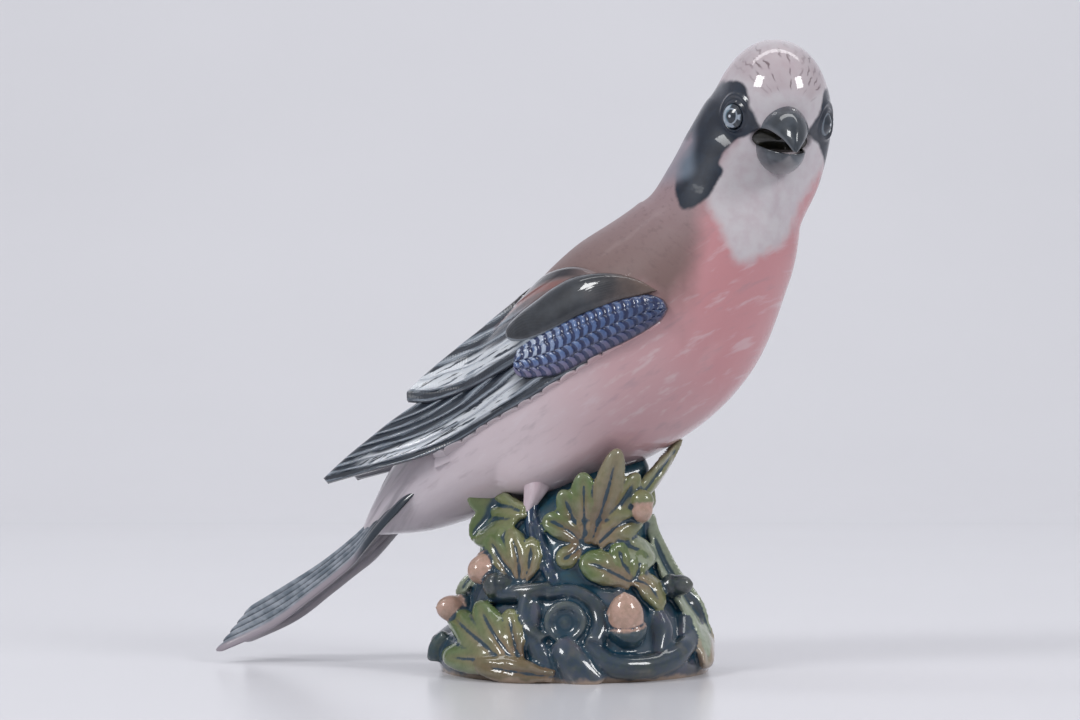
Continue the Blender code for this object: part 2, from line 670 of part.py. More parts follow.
def cut_flat(mesh):
    """Cut the casting flat at the height of the table, close the cut and drop loose bits."""
    built = bmesh.new()
    built.from_mesh(mesh)
    everything = built.verts[:] + built.edges[:] + built.faces[:]
    cut = bmesh.ops.bisect_plane(
        built,
        geom=everything,
        dist=0.05 * UNIT,
        plane_co=(0.0, 0.0, 0.0),
        plane_no=(0.0, 0.0, 1.0),
        clear_inner=True,
    )
    rim = [item for item in cut["geom_cut"] if isinstance(item, bmesh.types.BMEdge)]
    for vertex in {vertex for edge in rim for vertex in edge.verts}:
        vertex.co.z = 0.0
    bmesh.ops.holes_fill(built, edges=rim, sides=0)
    bmesh.ops.triangulate(built, faces=built.faces)
    bmesh.ops.recalc_face_normals(built, faces=built.faces)
    built.to_mesh(mesh)
    built.free()


def main():
    """Build the figurine."""
    for item in list(bpy.data.objects):
        bpy.data.objects.remove(item, do_unlink=True)
    figurine = collection("jay_figurine_parts")
    shapes = collection("shapes")
    make_core(shapes)
    make_leaves(shapes)
    make_acorns(shapes)
    make_branches(shapes)
    make_body(shapes)
    make_head(shapes)
    for name, side in (("wing_right", -1), ("wing_left", 1)):
        make_wing(name, side, shapes)
    make_tail(shapes)
    make_legs(shapes)
    bpy.context.view_layer.update()
    casting = cast("jay_figurine", shapes, figurine)
    cut_flat(casting.data)
    casting.data.materials.clear()
    casting.data.materials.append(material("glazed_porcelain", (0.47, 0.32, 0.33), 0.12))
    for polygon in casting.data.polygons:
        polygon.use_smooth = True


main()
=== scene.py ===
"""Porcelain jay on an oak stump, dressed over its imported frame: shapes, underglaze painting and glaze."""

import math

import bmesh
import bpy
import numpy as np
from mathutils import Matrix, Vector


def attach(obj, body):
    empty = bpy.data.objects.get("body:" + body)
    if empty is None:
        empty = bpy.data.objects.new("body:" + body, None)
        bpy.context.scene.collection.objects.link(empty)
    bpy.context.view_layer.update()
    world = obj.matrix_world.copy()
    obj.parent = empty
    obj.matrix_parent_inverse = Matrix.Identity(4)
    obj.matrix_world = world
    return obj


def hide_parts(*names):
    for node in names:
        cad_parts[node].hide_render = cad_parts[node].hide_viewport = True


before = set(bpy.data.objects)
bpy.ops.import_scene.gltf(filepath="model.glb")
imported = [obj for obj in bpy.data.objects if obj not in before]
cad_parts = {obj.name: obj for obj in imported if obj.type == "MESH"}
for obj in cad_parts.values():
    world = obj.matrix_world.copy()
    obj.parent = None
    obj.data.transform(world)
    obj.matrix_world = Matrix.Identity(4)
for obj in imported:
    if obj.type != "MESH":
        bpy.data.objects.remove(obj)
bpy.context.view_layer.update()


# Bird's body, neck and head
# One hollow shell of slip-cast porcelain: the slip sets in a plaster mould, so the head runs
# into the neck and the thighs into the belly with no seam. It is painted with metal oxides on
# the fired body and then glazed over, so every colour lies under one clear glass.

MM = 0.001
BIRD_HEADING = math.radians(-15.0)
BODY_STATIONS = np.array((
    (-72.4, 45.4, 2.2, 4.0, 0.0),
    (-66.6, 49.4, 6.4, 8.0, 0.0),
    (-55.4, 57.0, 13.2, 13.5, 0.0),
    (-36.6, 69.8, 20.2, 20.5, 0.0),
    (-10.4, 87.0, 30.2, 29.0, 0.0),
    (15.3, 106.2, 35.8, 33.5, 0.0),
    (32.6, 121.4, 35.0, 32.0, 0.0),
    (46.7, 140.6, 28.4, 26.0, 0.5),
    (53.6, 156.4, 24.0, 21.0, 1.5),
    (60.3, 170.6, 23.4, 17.5, 3.0),
    (65.0, 184.5, 20.6, 13.0, 3.0),
    (66.4, 196.5, 13.5, 9.0, 1.5),
    (66.8, 207.9, 0.6, 0.5, 0.0),
))
HEAD_CENTRE = np.array((67.0, 0.0, 187.0))
HEAD_HALF = (21.0, 17.4, 21.4)
HEAD_TURN = math.radians(-65.0)
HEAD_NOD = math.radians(8.0)
HEAD_LEAN = math.radians(-4.0)
THIGH_CENTRE = np.array((-4.0, 13.5, 73.5))
THIGH_HALF = (21.0, 10.5, 11.0)
THIGH_TILT = math.radians(-28.0)
SKIN_BLEND = 2.2
SKIN_STEP = 0.9
HEAD_STEP = 0.36
SKIN_COLUMNS = 264

EYE_PLACE = np.array((9.8, 14.7, -4.5))
EYE_OUTWARD = math.radians(53.0)
LID_RADIUS = 4.7
LID_HEIGHT = 0.75
BROW_RADIUS = 7.0
BROW_HEIGHT = 0.55

# Outlines of the markings as they show from the front: across and up, in millimetres
CHEEK = (
    (48.6, 193.6), (51.5, 193.9), (54.7, 191.6), (55.7, 186.1), (57.6, 181.6), (59.2, 177.9),
    (55.4, 176.0), (52.4, 174.8), (47.9, 170.6), (46.3, 167.0), (47.3, 164.4), (45.3, 160.2),
    (42.4, 155.7), (38.2, 152.8), (34.3, 152.1), (32.7, 156.3), (32.4, 161.5), (33.0, 168.0),
    (35.9, 171.9), (38.2, 175.1), (38.0, 181.0), (39.6, 185.5), (40.8, 188.7), (44.0, 191.6),
)
PALE_FACE = (
    (47.0, 190.2), (50.5, 199.2), (55.3, 204.1), (62.4, 208.6), (72.1, 208.0), (80.2, 200.5),
    (85.0, 183.8), (84.0, 170.9), (73.1, 154.1), (69.2, 143.2), (60.2, 137.0), (54.4, 134.5),
    (50.8, 135.8), (46.0, 146.1), (42.1, 153.5), (43.7, 161.2), (49.5, 170.9), (53.4, 177.3), (51.2, 187.0),
)
NECK_STREAK = (
    (37.4, 187.1), (44.0, 192.9), (48.5, 194.4), (49.0, 190.3), (42.7, 186.4), (38.2, 178.0), (36.0, 176.5),
)
MANTLE_EDGE = (
    (-90.0, 60.0), (-50.0, 92.0), (-22.0, 112.0), (2.0, 124.0), (30.0, 124.0), (38.0, 121.0), (43.3, 127.3),
    (46.5, 138.5), (49.5, 150.0), (52.0, 156.0), (60.0, 166.0), (80.0, 185.0),
)


def through(stations, places):
    """Points at places (0 is the first station) on a smooth curve through all stations.

    Between stations b and c, with neighbours a and d, the point at share t is
    half of 2b + (c - a)t + (2a - 5b + 4c - d)t^2 + (3b - a - 3c + d)t^3.
    """
    knots = np.asarray(stations, float)
    padded = np.vstack([2 * knots[0] - knots[1], knots, 2 * knots[-1] - knots[-2]])
    places = np.clip(np.asarray(places, float), 0.0, len(knots) - 1.0)
    left = np.minimum(places.astype(int), len(knots) - 2)
    t = (places - left)[..., None]
    a, b, c, d = (padded[left + i] for i in range(4))
    return 0.5 * (2 * b + (c - a) * t + (2 * a - 5 * b + 4 * c - d) * t**2 + (3 * b - a - 3 * c + d) * t**3)


def unit(arrows):
    """Arrows drawn out or in to length one."""
    return arrows / np.maximum(np.linalg.norm(arrows, axis=-1, keepdims=True), 1e-9)


def full_turn(count):
    """Angles evenly round a circle, in radians."""
    return np.linspace(0.0, 2 * math.pi, count, endpoint=False)


def along_path(path):
    """Unit direction of travel at each point of a path, from its neighbours."""
    return unit(np.gradient(path, axis=0))


def turned(points, angle):
    """Points turned about the vertical axis through the origin by an angle."""
    points = np.asarray(points, float)
    cos, sin = math.cos(angle), math.sin(angle)
    x, y, z = points[..., 0], points[..., 1], points[..., 2]
    return np.stack([x * cos - y * sin, x * sin + y * cos, z], axis=-1)


def smooth_step(value, low, high):
    """0 below low, 1 above high and 3t^2 - 2t^3 of the share t between them."""
    t = np.clip((value - low) / (high - low), 0.0, 1.0)
    return t * t * (3.0 - 2.0 * t)


HEAD_NODDED = Matrix.Rotation(HEAD_NOD, 3, "Y") @ Matrix.Rotation(HEAD_LEAN, 3, "X")
HEAD_AXES = np.array(Matrix.Rotation(HEAD_TURN, 3, "Z") @ HEAD_NODDED)


def head_to_bird(points):
    """Head frame (forward, to its left, up from the head's middle) into the bird's frame."""
    return np.asarray(points, float) @ HEAD_AXES.T + HEAD_CENTRE


def bird_to_head(points):
    """The bird's frame into the head frame."""
    return (np.asarray(points, float) - HEAD_CENTRE) @ HEAD_AXES


def head_to_world(points):
    """Head frame into the figurine's own frame."""
    return turned(head_to_bird(points), BIRD_HEADING)


def reach_to_egg(start, ray, centre, half, axes):
    """How far rays run until they leave an egg: the larger root of |A(start - centre) + t A ray| = 1."""
    squeeze = axes / np.array(half)
    p = (start - centre) @ squeeze
    d = ray @ squeeze
    a = (d * d).sum(-1)
    b = (p * d).sum(-1)
    c = (p * p).sum(-1) - 1.0
    inside = b * b - a * c
    return np.where(inside > 0.0, (-b + np.sqrt(np.maximum(inside, 0.0))) / a, 0.0)


def bird_skin(places, angles):
    """The bird's skin in its own frame.

    At each place on the spine a ring of rays leaves in the plane across it. A ray's length is
    the smooth greatest, k ln(sum of exp(length / k)), of its reach to the body's ellipse, to
    the head's egg and to the two thighs.
    """
    row = through(BODY_STATIONS, places)
    path = through(BODY_STATIONS[:, :2], np.linspace(0.0, len(BODY_STATIONS) - 1.0, 800))
    heading = along_path(path)
    at = np.interp(places, np.linspace(0.0, len(BODY_STATIONS) - 1.0, 800), np.arange(800.0))
    heading = heading[at.astype(int)]
    normal = np.stack([-heading[:, 1], 0 * heading[:, 0], heading[:, 0]], axis=-1)
    side = np.array((0.0, 1.0, 0.0))
    start = np.stack([row[:, 0], row[:, 4], row[:, 1]], axis=-1)[:, None, :]
    cos, sin = np.cos(angles), np.sin(angles)
    ray = cos[None, :, None] * normal[:, None, :] + sin[None, :, None] * side
    depth, width = np.maximum(row[:, 2, None], 0.4), np.maximum(row[:, 3, None], 0.4)
    reach = [1.0 / np.sqrt((cos / depth) ** 2 + (sin / width) ** 2)]
    reach.append(reach_to_egg(start, ray, HEAD_CENTRE, HEAD_HALF, HEAD_AXES))
    tilt = np.array(Matrix.Rotation(THIGH_TILT, 3, "Y"))
    for left in (1, -1):
        reach.append(reach_to_egg(start, ray, THIGH_CENTRE * (1, left, 1), THIGH_HALF, tilt))
    total = SKIN_BLEND * np.log(sum(np.exp(r / SKIN_BLEND) for r in reach) - len(reach) + 1)
    return start + total[..., None] * ray


def skin_places():
    """Places of the rings: even along the spine, closer on the head, closer still at the crown."""
    fine = np.linspace(0.0, len(BODY_STATIONS) - 1.0, 800)
    path = through(BODY_STATIONS[:, :2], fine)
    length = np.concatenate([[0.0], np.cumsum(np.linalg.norm(np.diff(path, axis=0), axis=1))])
    head_start = np.interp(8.6, fine, length)
    crown_start = length[-1] - 7.0
    body = np.arange(0.0, head_start, SKIN_STEP)
    head = np.arange(head_start, crown_start, HEAD_STEP)
    crown = length[-1] - 7.0 * np.linspace(1.0, 0.02, 40) ** 2
    return np.interp(np.concatenate([body, head, crown]), length, fine)


def grid_normals(points):
    """Unit normals of a grid whose second direction closes on itself, pointing away from its middle."""
    across = np.roll(points, -1, axis=1) - np.roll(points, 1, axis=1)
    normal = unit(np.cross(across, np.gradient(points, axis=0)))
    return normal * np.sign((normal * (points - points.mean(axis=1, keepdims=True))).sum(-1).mean())


def inside_outline(x, z, outline):
    """Distance in millimetres to a closed outline, positive inside it (even-odd count of its sides)."""
    corners = through(np.vstack([outline, outline[:1]]), np.linspace(0.0, len(outline), 4 * len(outline) + 1))
    nearest = np.full(x.shape, 1e9)
    inside = np.zeros(x.shape, bool)
    for (x0, z0), (x1, z1) in zip(corners[:-1], corners[1:]):
        dx, dz = x1 - x0, z1 - z0
        t = np.clip(((x - x0) * dx + (z - z0) * dz) / (dx * dx + dz * dz), 0.0, 1.0)
        nearest = np.minimum(nearest, np.hypot(x - x0 - t * dx, z - z0 - t * dz))
        crosses = (z0 > z) != (z1 > z)
        inside ^= crosses & (x < x0 + (z - z0) * dx / np.where(dz == 0.0, 1e-9, dz))
    return np.where(inside, nearest, -nearest)


def grid_faces(rings):
    """Points, quads and end triangles of a closed form through rings, drawn to a point at both ends.

    The sum of (a x b) . c over the faces is six times the volume; where it is negative, every
    face is turned round, so that the faces look outwards.
    """
    rows, columns = rings.shape[:2]
    points = np.vstack([rings.reshape(-1, 3), rings[0].mean(axis=0), rings[-1].mean(axis=0)])
    row, column = np.meshgrid(np.arange(rows - 1), np.arange(columns), indexing="ij")
    here, beside = row * columns + column, row * columns + (column + 1) % columns
    quads = np.stack([here, beside, beside + columns, here + columns], axis=-1).reshape(-1, 4)
    ring = np.arange(columns)
    after = (ring + 1) % columns
    high = (rows - 1) * columns
    low = np.stack([after, ring, np.full(columns, rows * columns)], axis=-1)
    top = np.stack([high + ring, high + after, np.full(columns, rows * columns + 1)], axis=-1)
    ends = np.concatenate([low, top])
    volume = 0.0
    for a, b, c in (quads[:, :3].T, quads[:, (0, 2, 3)].T, ends.T):
        volume += (np.cross(points[a], points[b]) * points[c]).sum()
    if volume < 0:
        quads, ends = quads[:, ::-1], ends[:, ::-1]
    return points, quads, ends


def in_scene(name, data):
    """A new object of the scene, at the origin, round a mesh, a light or a camera."""
    made = bpy.data.objects.new(name, data)
    bpy.context.scene.collection.objects.link(made)
    return made


def keep_numbers(mesh, name, values):
    """Keeps a number at each vertex of a mesh."""
    numbers = mesh.attributes.new(name, "FLOAT", "POINT").data
    numbers.foreach_set("value", values.astype(np.float32))


def closed_grid(name, rings, fields=None):
    """A closed piece through rings of equal count; a field is a number for each grid point, row or column."""
    points, quads, ends = grid_faces(rings)
    mesh = bpy.data.meshes.new(name)
    mesh.from_pydata((points * MM).tolist(), [], quads.tolist() + ends.tolist())
    for key, values in (fields or {}).items():
        values = np.broadcast_to(values, rings.shape[:2])
        keep_numbers(mesh, key, np.concatenate([values.reshape(-1), [values[0].mean(), values[-1].mean()]]))
    mesh.shade_smooth()
    return in_scene(name, mesh)


def linear(text):
    """A colour written as sRGB hex, as the linear values that the shader takes."""
    value = np.array([int(text[i : i + 2], 16) / 255.0 for i in (0, 2, 4)])
    value = np.where(value <= 0.04045, value / 12.92, ((value + 0.055) / 1.055) ** 2.4)
    return (*value, 1.0)


def node(tree, kind, inputs=None, **settings):
    """A node with its settings; each input is a constant or another node's output."""
    made = tree.nodes.new(kind)
    for key, value in settings.items():
        setattr(made, key, value)
    for key, value in (inputs or {}).items():
        value = getattr(value, "socket", value)
        if isinstance(value, bpy.types.NodeSocket):
            tree.links.new(value, made.inputs[key])
        else:
            made.inputs[key].default_value = value
    return made.outputs


class Amount:
    """A number at every place on a piece: arithmetic on it adds the nodes that work it out."""

    def __init__(self, tree, socket):
        self.tree = tree
        self.socket = socket

    def then(self, operation, other=0.0):
        """This number and another one through one step of arithmetic."""
        inputs = {0: self, 1: other}
        return Amount(self.tree, node(self.tree, "ShaderNodeMath", inputs, operation=operation)[0])

    def step(self, low, high, start=0.0, end=1.0):
        """A smooth step from start to end, as this number goes from low to high."""
        inputs = {"Value": self, "From Min": low, "From Max": high, "To Min": start, "To Max": end}
        smooth = node(self.tree, "ShaderNodeMapRange", inputs, interpolation_type="SMOOTHSTEP")
        return Amount(self.tree, smooth[0])

    def __add__(self, other):
        return self.then("ADD", other)

    def __sub__(self, other):
        return self.then("SUBTRACT", other)

    def __mul__(self, other):
        return self.then("MULTIPLY", other)

    def __abs__(self):
        return self.then("ABSOLUTE")


def kept(tree, name):
    """A number kept on the mesh."""
    return Amount(tree, node(tree, "ShaderNodeAttribute", attribute_name=name)["Fac"])


def laid(under, share, over):
    """One colour brushed over another by a share; a text is sRGB hex."""
    under, over = (linear(colour) if isinstance(colour, str) else colour for colour in (under, over))
    return node(share.tree, "ShaderNodeMix", {0: share, 6: under, 7: over}, data_type="RGBA")[2]


def blotches(tree, place, millimetres, detail=2.0, rough=0.5):
    """Uneven brushing with that size of blotch, from 0 to 1."""
    inputs = {"Vector": place, "Scale": 1.0 / (millimetres * MM), "Detail": detail, "Roughness": rough}
    return Amount(tree, node(tree, "ShaderNodeTexNoise", inputs)["Fac"])


def combed(tree, along, across, millimetres, detail=2.0, rough=0.5):
    """Brushing drawn out along a stroke, from the places along and across it in metres."""
    place = node(tree, "ShaderNodeCombineXYZ", {0: along, 1: across})[0]
    return blotches(tree, place, millimetres, detail, rough)


def object_place(tree, stretch=(1.0, 1.0, 1.0), turn=(0.0, 0.0, 0.0)):
    """The place on the piece, turned and then stretched."""
    place = node(tree, "ShaderNodeTexCoord")["Object"]
    if turn != (0.0, 0.0, 0.0):
        place = node(tree, "ShaderNodeMapping", {"Vector": place, "Rotation": turn})[0]
    return node(tree, "ShaderNodeMapping", {"Vector": place, "Scale": stretch})[0]


def glazed(tree, colour, coat=1.0, ripples=0.22):
    """Porcelain under a clear glaze: a soft white body that scatters light below a glassy coat.

    The coat gives the sharp window-like highlights, its slight unevenness makes them waver as
    on a poured glaze, and the faint scattering softens the shade of the painted colour below.
    """
    place = object_place(tree)
    shift = blotches(tree, place, 9.0, 1.0) * ripples + blotches(tree, place, 1.6, 1.0) * 0.025
    bump = node(tree, "ShaderNodeBump", {"Height": shift, "Distance": MM, "Strength": 0.6})[0]
    inputs = {
        "Base Color": colour,
        "Roughness": 0.42,
        "IOR": 1.5,
        "Specular IOR Level": 0.25,
        "Subsurface Weight": 0.12,
        "Subsurface Radius": (0.0012, 0.0010, 0.0009),
        "Subsurface Scale": 1.0,
        "Coat Weight": coat,
        "Coat Roughness": 0.04,
        "Coat IOR": 1.52,
        "Coat Normal": bump,
        "Normal": bump,
    }
    return node(tree, "ShaderNodeBsdfPrincipled", inputs)[0]


def material(name, painted):
    """A node material whose surface is what painted(tree) returns."""
    made = bpy.data.materials.new(name)
    made.use_nodes = True
    made.node_tree.nodes.clear()
    node(made.node_tree, "ShaderNodeOutputMaterial", {"Surface": painted(made.node_tree)})
    return made


def show(piece, look):
    """The piece gets its material, rides with the figurine and hides the figurine's imported frame."""
    piece.data.materials.append(look)
    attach(piece, "root")
    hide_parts("jay_figurine")
    return piece


def eye_ridges(head_points):
    """Height of the lids and brows: rings of exp(-(distance / width)^2) round each eye, and a sunk socket."""
    height = np.zeros(head_points.shape[:2])
    for side in (1, -1):
        centre = EYE_PLACE * (1, side, 1)
        facing = np.array((math.cos(EYE_OUTWARD), side * math.sin(EYE_OUTWARD), 0.0))
        along = ((head_points - centre) * facing).sum(-1)
        off = head_points - centre - along[..., None] * facing
        distance = np.linalg.norm(off, axis=-1)
        front = smooth_step(along, -6.0, -2.0)
        up = off[..., 2] / np.maximum(distance, 1e-6)
        squash = np.hypot(distance, 0.25 * off[..., 2])
        lid = LID_HEIGHT * np.exp(-(((squash - LID_RADIUS) / 0.62) ** 2))
        brow = BROW_HEIGHT * np.exp(-(((distance - BROW_RADIUS) / 0.7) ** 2)) * smooth_step(up, -0.2, 0.5)
        height += front * (lid + brow - 0.9 * smooth_step(-distance, -LID_RADIUS + 0.2, -3.0))
    return height


def make_bird():
    """The skin with its relief, and the fields that the painting reads."""
    skin = bird_skin(skin_places(), full_turn(SKIN_COLUMNS))
    normal = grid_normals(skin)
    head_points = bird_to_head(skin)
    in_front = smooth_step(head_points[..., 0], 2.0, 8.0)
    mouth = np.hypot(head_points[..., 1] / 10.5, (head_points[..., 2] + 10.4) / 5.0)
    height = eye_ridges(head_points) - 7.0 * in_front * smooth_step(-mouth, -1.0, -0.78)
    skin = skin + normal * height[..., None]
    own, own_facing = turned(skin, BIRD_HEADING), -turned(normal, BIRD_HEADING)[..., 1]

    # The far side of the head is painted as the near one: its places are mirrored first
    mirror = np.where(head_points[..., 1:2] > 0.0, (1, -1, 1), (1, 1, 1))
    near = head_to_world(head_points * mirror)
    facing = -turned((normal @ HEAD_AXES * mirror) @ HEAD_AXES.T, BIRD_HEADING)[..., 1]
    rear = smooth_step(-near[..., 0], -42.5, -34.5) * smooth_step(near[..., 2], 158.0, 166.0)
    edge = np.array(MANTLE_EDGE)
    slope = np.interp(skin[..., 0], edge[:, 0], np.gradient(edge[:, 1], edge[:, 0]))
    above = skin[..., 2] - np.interp(skin[..., 0], edge[:, 0], edge[:, 1])
    fields = {
        "cheek": np.minimum(inside_outline(near[..., 0], near[..., 2], CHEEK), 14.0 * (facing - 0.06)),
        "cheek_back": rear * smooth_step(-near[..., 2], -187.0, -180.0),
        "streak": np.minimum(inside_outline(near[..., 0], near[..., 2], NECK_STREAK), 14.0 * (facing - 0.06)),
        "pale": np.minimum(inside_outline(own[..., 0], own[..., 2], PALE_FACE), 16.0 * (own_facing + 0.25)),
        "above": above / np.hypot(1.0, slope),
        "forward": skin[..., 0],
        "rise": skin[..., 2],
        "fan_angle": np.degrees(np.arctan2(head_points[..., 1], head_points[..., 2] + 3.0)),
        "fan_reach": np.hypot(head_points[..., 1], head_points[..., 2] + 3.0),
        "head_forward": head_points[..., 0],
        "side": head_points[..., 1],
    }
    return closed_grid("bird_body", own, fields)


def paint_bird(tree):
    """Airbrushed pinks and mauves with a white face, streaked crown and blue-black cheeks.

    The glaze has drawn thin over the brown mantle, which so looks softer than the breast.
    """
    place = object_place(tree)
    cloud = blotches(tree, place, 16.0, 3.0)
    mottle = blotches(tree, place, 4.0, 3.0)
    fine = blotches(tree, object_place(tree, (0.35, 1.0, 1.0), (0.0, -0.75, 0.26)), 1.5, 3.0, 0.6)
    wander = mottle * 3.2 - 1.6
    wide = cloud * 14.0 - 7.0
    forward, rise = kept(tree, "forward"), kept(tree, "rise")

    # Breast to belly and vent
    ahead = forward + wide
    colour = laid("C4BCC3", ahead.step(-66.0, -8.0), "CDBDC2")
    colour = laid(colour, ahead.step(-14.0, 34.0), "C0989C")
    colour = laid(colour, ahead.step(30.0, 58.0), "BD8489")
    brushed = combed(
        tree, forward * 0.00022 + rise * 0.00014, rise * 0.00080 + forward * -0.00050, 3.4, 3.0, 0.6
    )
    colour = laid(colour, brushed.step(0.54, 0.74, 0.0, 0.32), "8E7E86")
    colour = laid(colour, brushed.step(0.46, 0.30, 0.0, 0.34), "D2C8CD")

    # Vent streaks under the tail's root
    streaks = combed(tree, forward * 0.00009 + rise * 0.00006, rise * 0.00066 + forward * -0.00075, 2.6)
    colour = laid(colour, forward.step(-46.0, -66.0) * streaks.step(0.50, 0.72) * 0.6, "4C4A55")

    # Mantle and nape
    over = (kept(tree, "above") + wide).step(-6.5, 7.0)
    mantle = laid("77625F", rise.step(128.0, 186.0), "A8929A")
    mantle = laid(mantle, fine.step(0.5, 0.75) * 0.35, "5F4D4E")
    mantle = laid(mantle, forward.step(-20.0, -60.0, 0.0, 0.5), "8C8089")
    colour = laid(colour, over * 0.96, mantle)

    # White face, throat and crown
    soft = (kept(tree, "pale") + wander * 1.3).step(-2.2, 2.4)
    colour = laid(colour, soft, laid("C3BEC2", mottle.step(0.3, 0.8), "BBB0B6"))

    # Short strokes that fan out over the crown
    fan_angle, fan_reach = kept(tree, "fan_angle"), kept(tree, "fan_reach")
    angle = (blotches(tree, place, 2.6, 1.0) * 7.0 + fan_angle) * (1.0 / 7.6)
    column = angle.then("FLOOR")
    stagger = node(tree, "ShaderNodeTexWhiteNoise", {"W": column}, noise_dimensions="1D")["Value"]
    reach = (mottle * 3.0 + fan_reach).then("DIVIDE", 4.4) + Amount(tree, stagger) * 3.1
    cell = node(tree, "ShaderNodeCombineXYZ", {0: column, 1: reach.then("FLOOR")})[0]
    chance = node(tree, "ShaderNodeTexWhiteNoise", {"Vector": cell}, noise_dimensions="3D")["Value"]
    across, lengthwise = (abs(way.then("FRACT") - 0.5) for way in (angle, reach))
    dash = across.step(0.24, 0.04) * lengthwise.step(0.46, 0.12) * Amount(tree, chance).step(0.30, 0.95)
    on_crown = fan_reach.step(8.0, 10.5) * fan_reach.step(25.0, 20.0) * abs(fan_angle).step(58.0, 44.0)
    on_crown = on_crown * kept(tree, "head_forward").step(-8.0, 2.0)
    colour = laid(colour, on_crown * 0.45, "A8949A")
    colour = laid(colour, dash * on_crown * fine.step(0.2, 0.5, 0.5, 0.8), "574349")

    # Blue-black cheek, softer at its back, and the stroke that leaves it towards the nape
    cheek, rear = kept(tree, "cheek") + wander * 0.45, kept(tree, "cheek_back")
    steel = laid(laid("101A2A", mottle.step(0.35, 0.75), "192637"), rear.step(0.15, 0.9), "66717F")
    colour = laid(colour, cheek.step(-0.7, 0.6), steel)
    colour = laid(colour, rear * cheek.step(3.4, -1.0), "8B858F")
    colour = laid(colour, (kept(tree, "streak") + wander * 0.5).step(-1.4, 1.2) * 0.9, "1F2A39")

    thin = soft * rise.step(182.0, 172.0) * kept(tree, "side").step(0.0, -8.0) * 0.8
    thin = thin.then("MAXIMUM", over * rise.step(186.0, 168.0, 0.0, 0.92))
    return glazed(tree, colour, thin * -1.0 + 1.0)


show(make_bird(), material("bird_glaze", paint_bird))


# Bill
# Two porcelain shells, the hooked upper one and the scoop of the lower one, modelled open and
# stuck to the face with slip before firing. Painted steel grey, near black inside.

UPPER_BILL = np.array((
    (10.5, -7.2, 8.4, 9.2), (16.5, -7.3, 7.9, 8.6), (22.5, -7.2, 6.9, 7.5),
    (27.5, -8.2, 5.2, 6.4), (31.5, -10.0, 3.2, 4.9), (34.0, -12.4, 1.2, 3.2), (34.6, -13.2, 0.4, 1.2),
))
LOWER_BILL = np.array((
    (9.0, -12.4, 7.7, 8.2), (14.0, -12.8, 7.9, 8.9), (19.0, -13.2, 7.4, 8.4),
    (23.5, -13.7, 6.0, 6.3), (26.8, -14.1, 3.2, 3.6), (27.6, -14.3, 0.6, 0.9),
))
BILL_WALL = 1.1


def bill_shell(name, stations, upwards, sharp):
    """Half a bill: rings (w cos t |cos t|^(sharp-1), h sin t) outside and a smaller arch inside.

    The stations give each ring's place ahead of the head's middle, the height of its edge, half
    width and height; sharp over 1 draws the arch in to a ridge.
    """
    ahead, rise, width, height = through(stations, np.linspace(0.0, len(stations) - 1.0, 60)).T[..., None]
    turn = np.linspace(0.0, math.pi, 34)
    arch = np.cos(turn) * np.abs(np.cos(turn)) ** (sharp - 1.0)
    inner_width = np.maximum(width - BILL_WALL, 0.15 * width)
    inner_height = np.maximum(height - 1.4 * BILL_WALL, 0.1 * height)
    across = np.concatenate([width * arch, inner_width * arch[::-1]], axis=1)
    up = np.concatenate([height * np.sin(turn), inner_height * np.sin(turn)], axis=1)
    ring = np.stack([ahead + 0 * across, across, rise + (up if upwards else -up)], axis=-1)
    fields = {"inside": np.repeat((0.0, 1.0), 34), "edge": np.tile(np.sin(turn), 2), "ahead": ahead}
    return closed_grid(name, head_to_world(ring), fields)


def paint_bill(tree):
    """Steel grey brushed thin towards the rim, so the white body shows through there."""
    colour = laid("262D35", blotches(tree, object_place(tree), 5.0, 3.0).step(0.3, 0.75), "3A424B")
    colour = laid(colour, kept(tree, "ahead").step(24.0, 15.0, 0.0, 0.5), "46515B")
    colour = laid(colour, kept(tree, "edge").step(0.30, 0.05, 0.0, 0.5), "7A7F86")
    return glazed(tree, laid(colour, kept(tree, "inside").step(0.3, 0.7), "0E0E0C"))


def paint_lower_bill(tree):
    """The lower half: grey with a paler floor."""
    colour = laid("3A4048", blotches(tree, object_place(tree), 5.0, 3.0).step(0.3, 0.75), "50565E")
    colour = laid(colour, kept(tree, "edge").step(0.55, 1.0, 0.0, 0.6), "8E8A8C")
    colour = laid(colour, kept(tree, "edge").step(0.30, 0.03, 0.0, 0.7), "33383F")
    return glazed(tree, laid(colour, kept(tree, "inside").step(0.3, 0.7), "0E0E0C"))


show(bill_shell("bill_upper", UPPER_BILL, True, 1.15), material("bill_grey", paint_bill))
show(bill_shell("bill_lower", LOWER_BILL, False, 1.0), material("bill_lower_grey", paint_lower_bill))


def make_throat():
    """The dark hollow behind the bill: an egg (a cos u, b sin u cos v, c sin u sin v) set in the face."""
    u = np.linspace(0.03, math.pi - 0.03, 30)[:, None]
    v = full_turn(40)
    egg = (12.6 + 4.4 * np.cos(u) + 0 * v, 9.6 * np.sin(u) * np.cos(v), -10.4 + 5.0 * np.sin(u) * np.sin(v))
    return closed_grid("mouth", head_to_world(np.stack(egg, axis=-1)))


def paint_mouth(tree):
    """Olive black, brushed unevenly."""
    return glazed(tree, laid("0D0C08", blotches(tree, object_place(tree), 2.5).step(0.35, 0.7), "24221A"))


show(make_throat(), material("mouth_black", paint_mouth))


# Eyes
# Low domes raised in the mould: the pupil, the pale ring and its broken outline are brushed on.

EYE_RADIUS = 3.9
EYE_RISE = 1.5


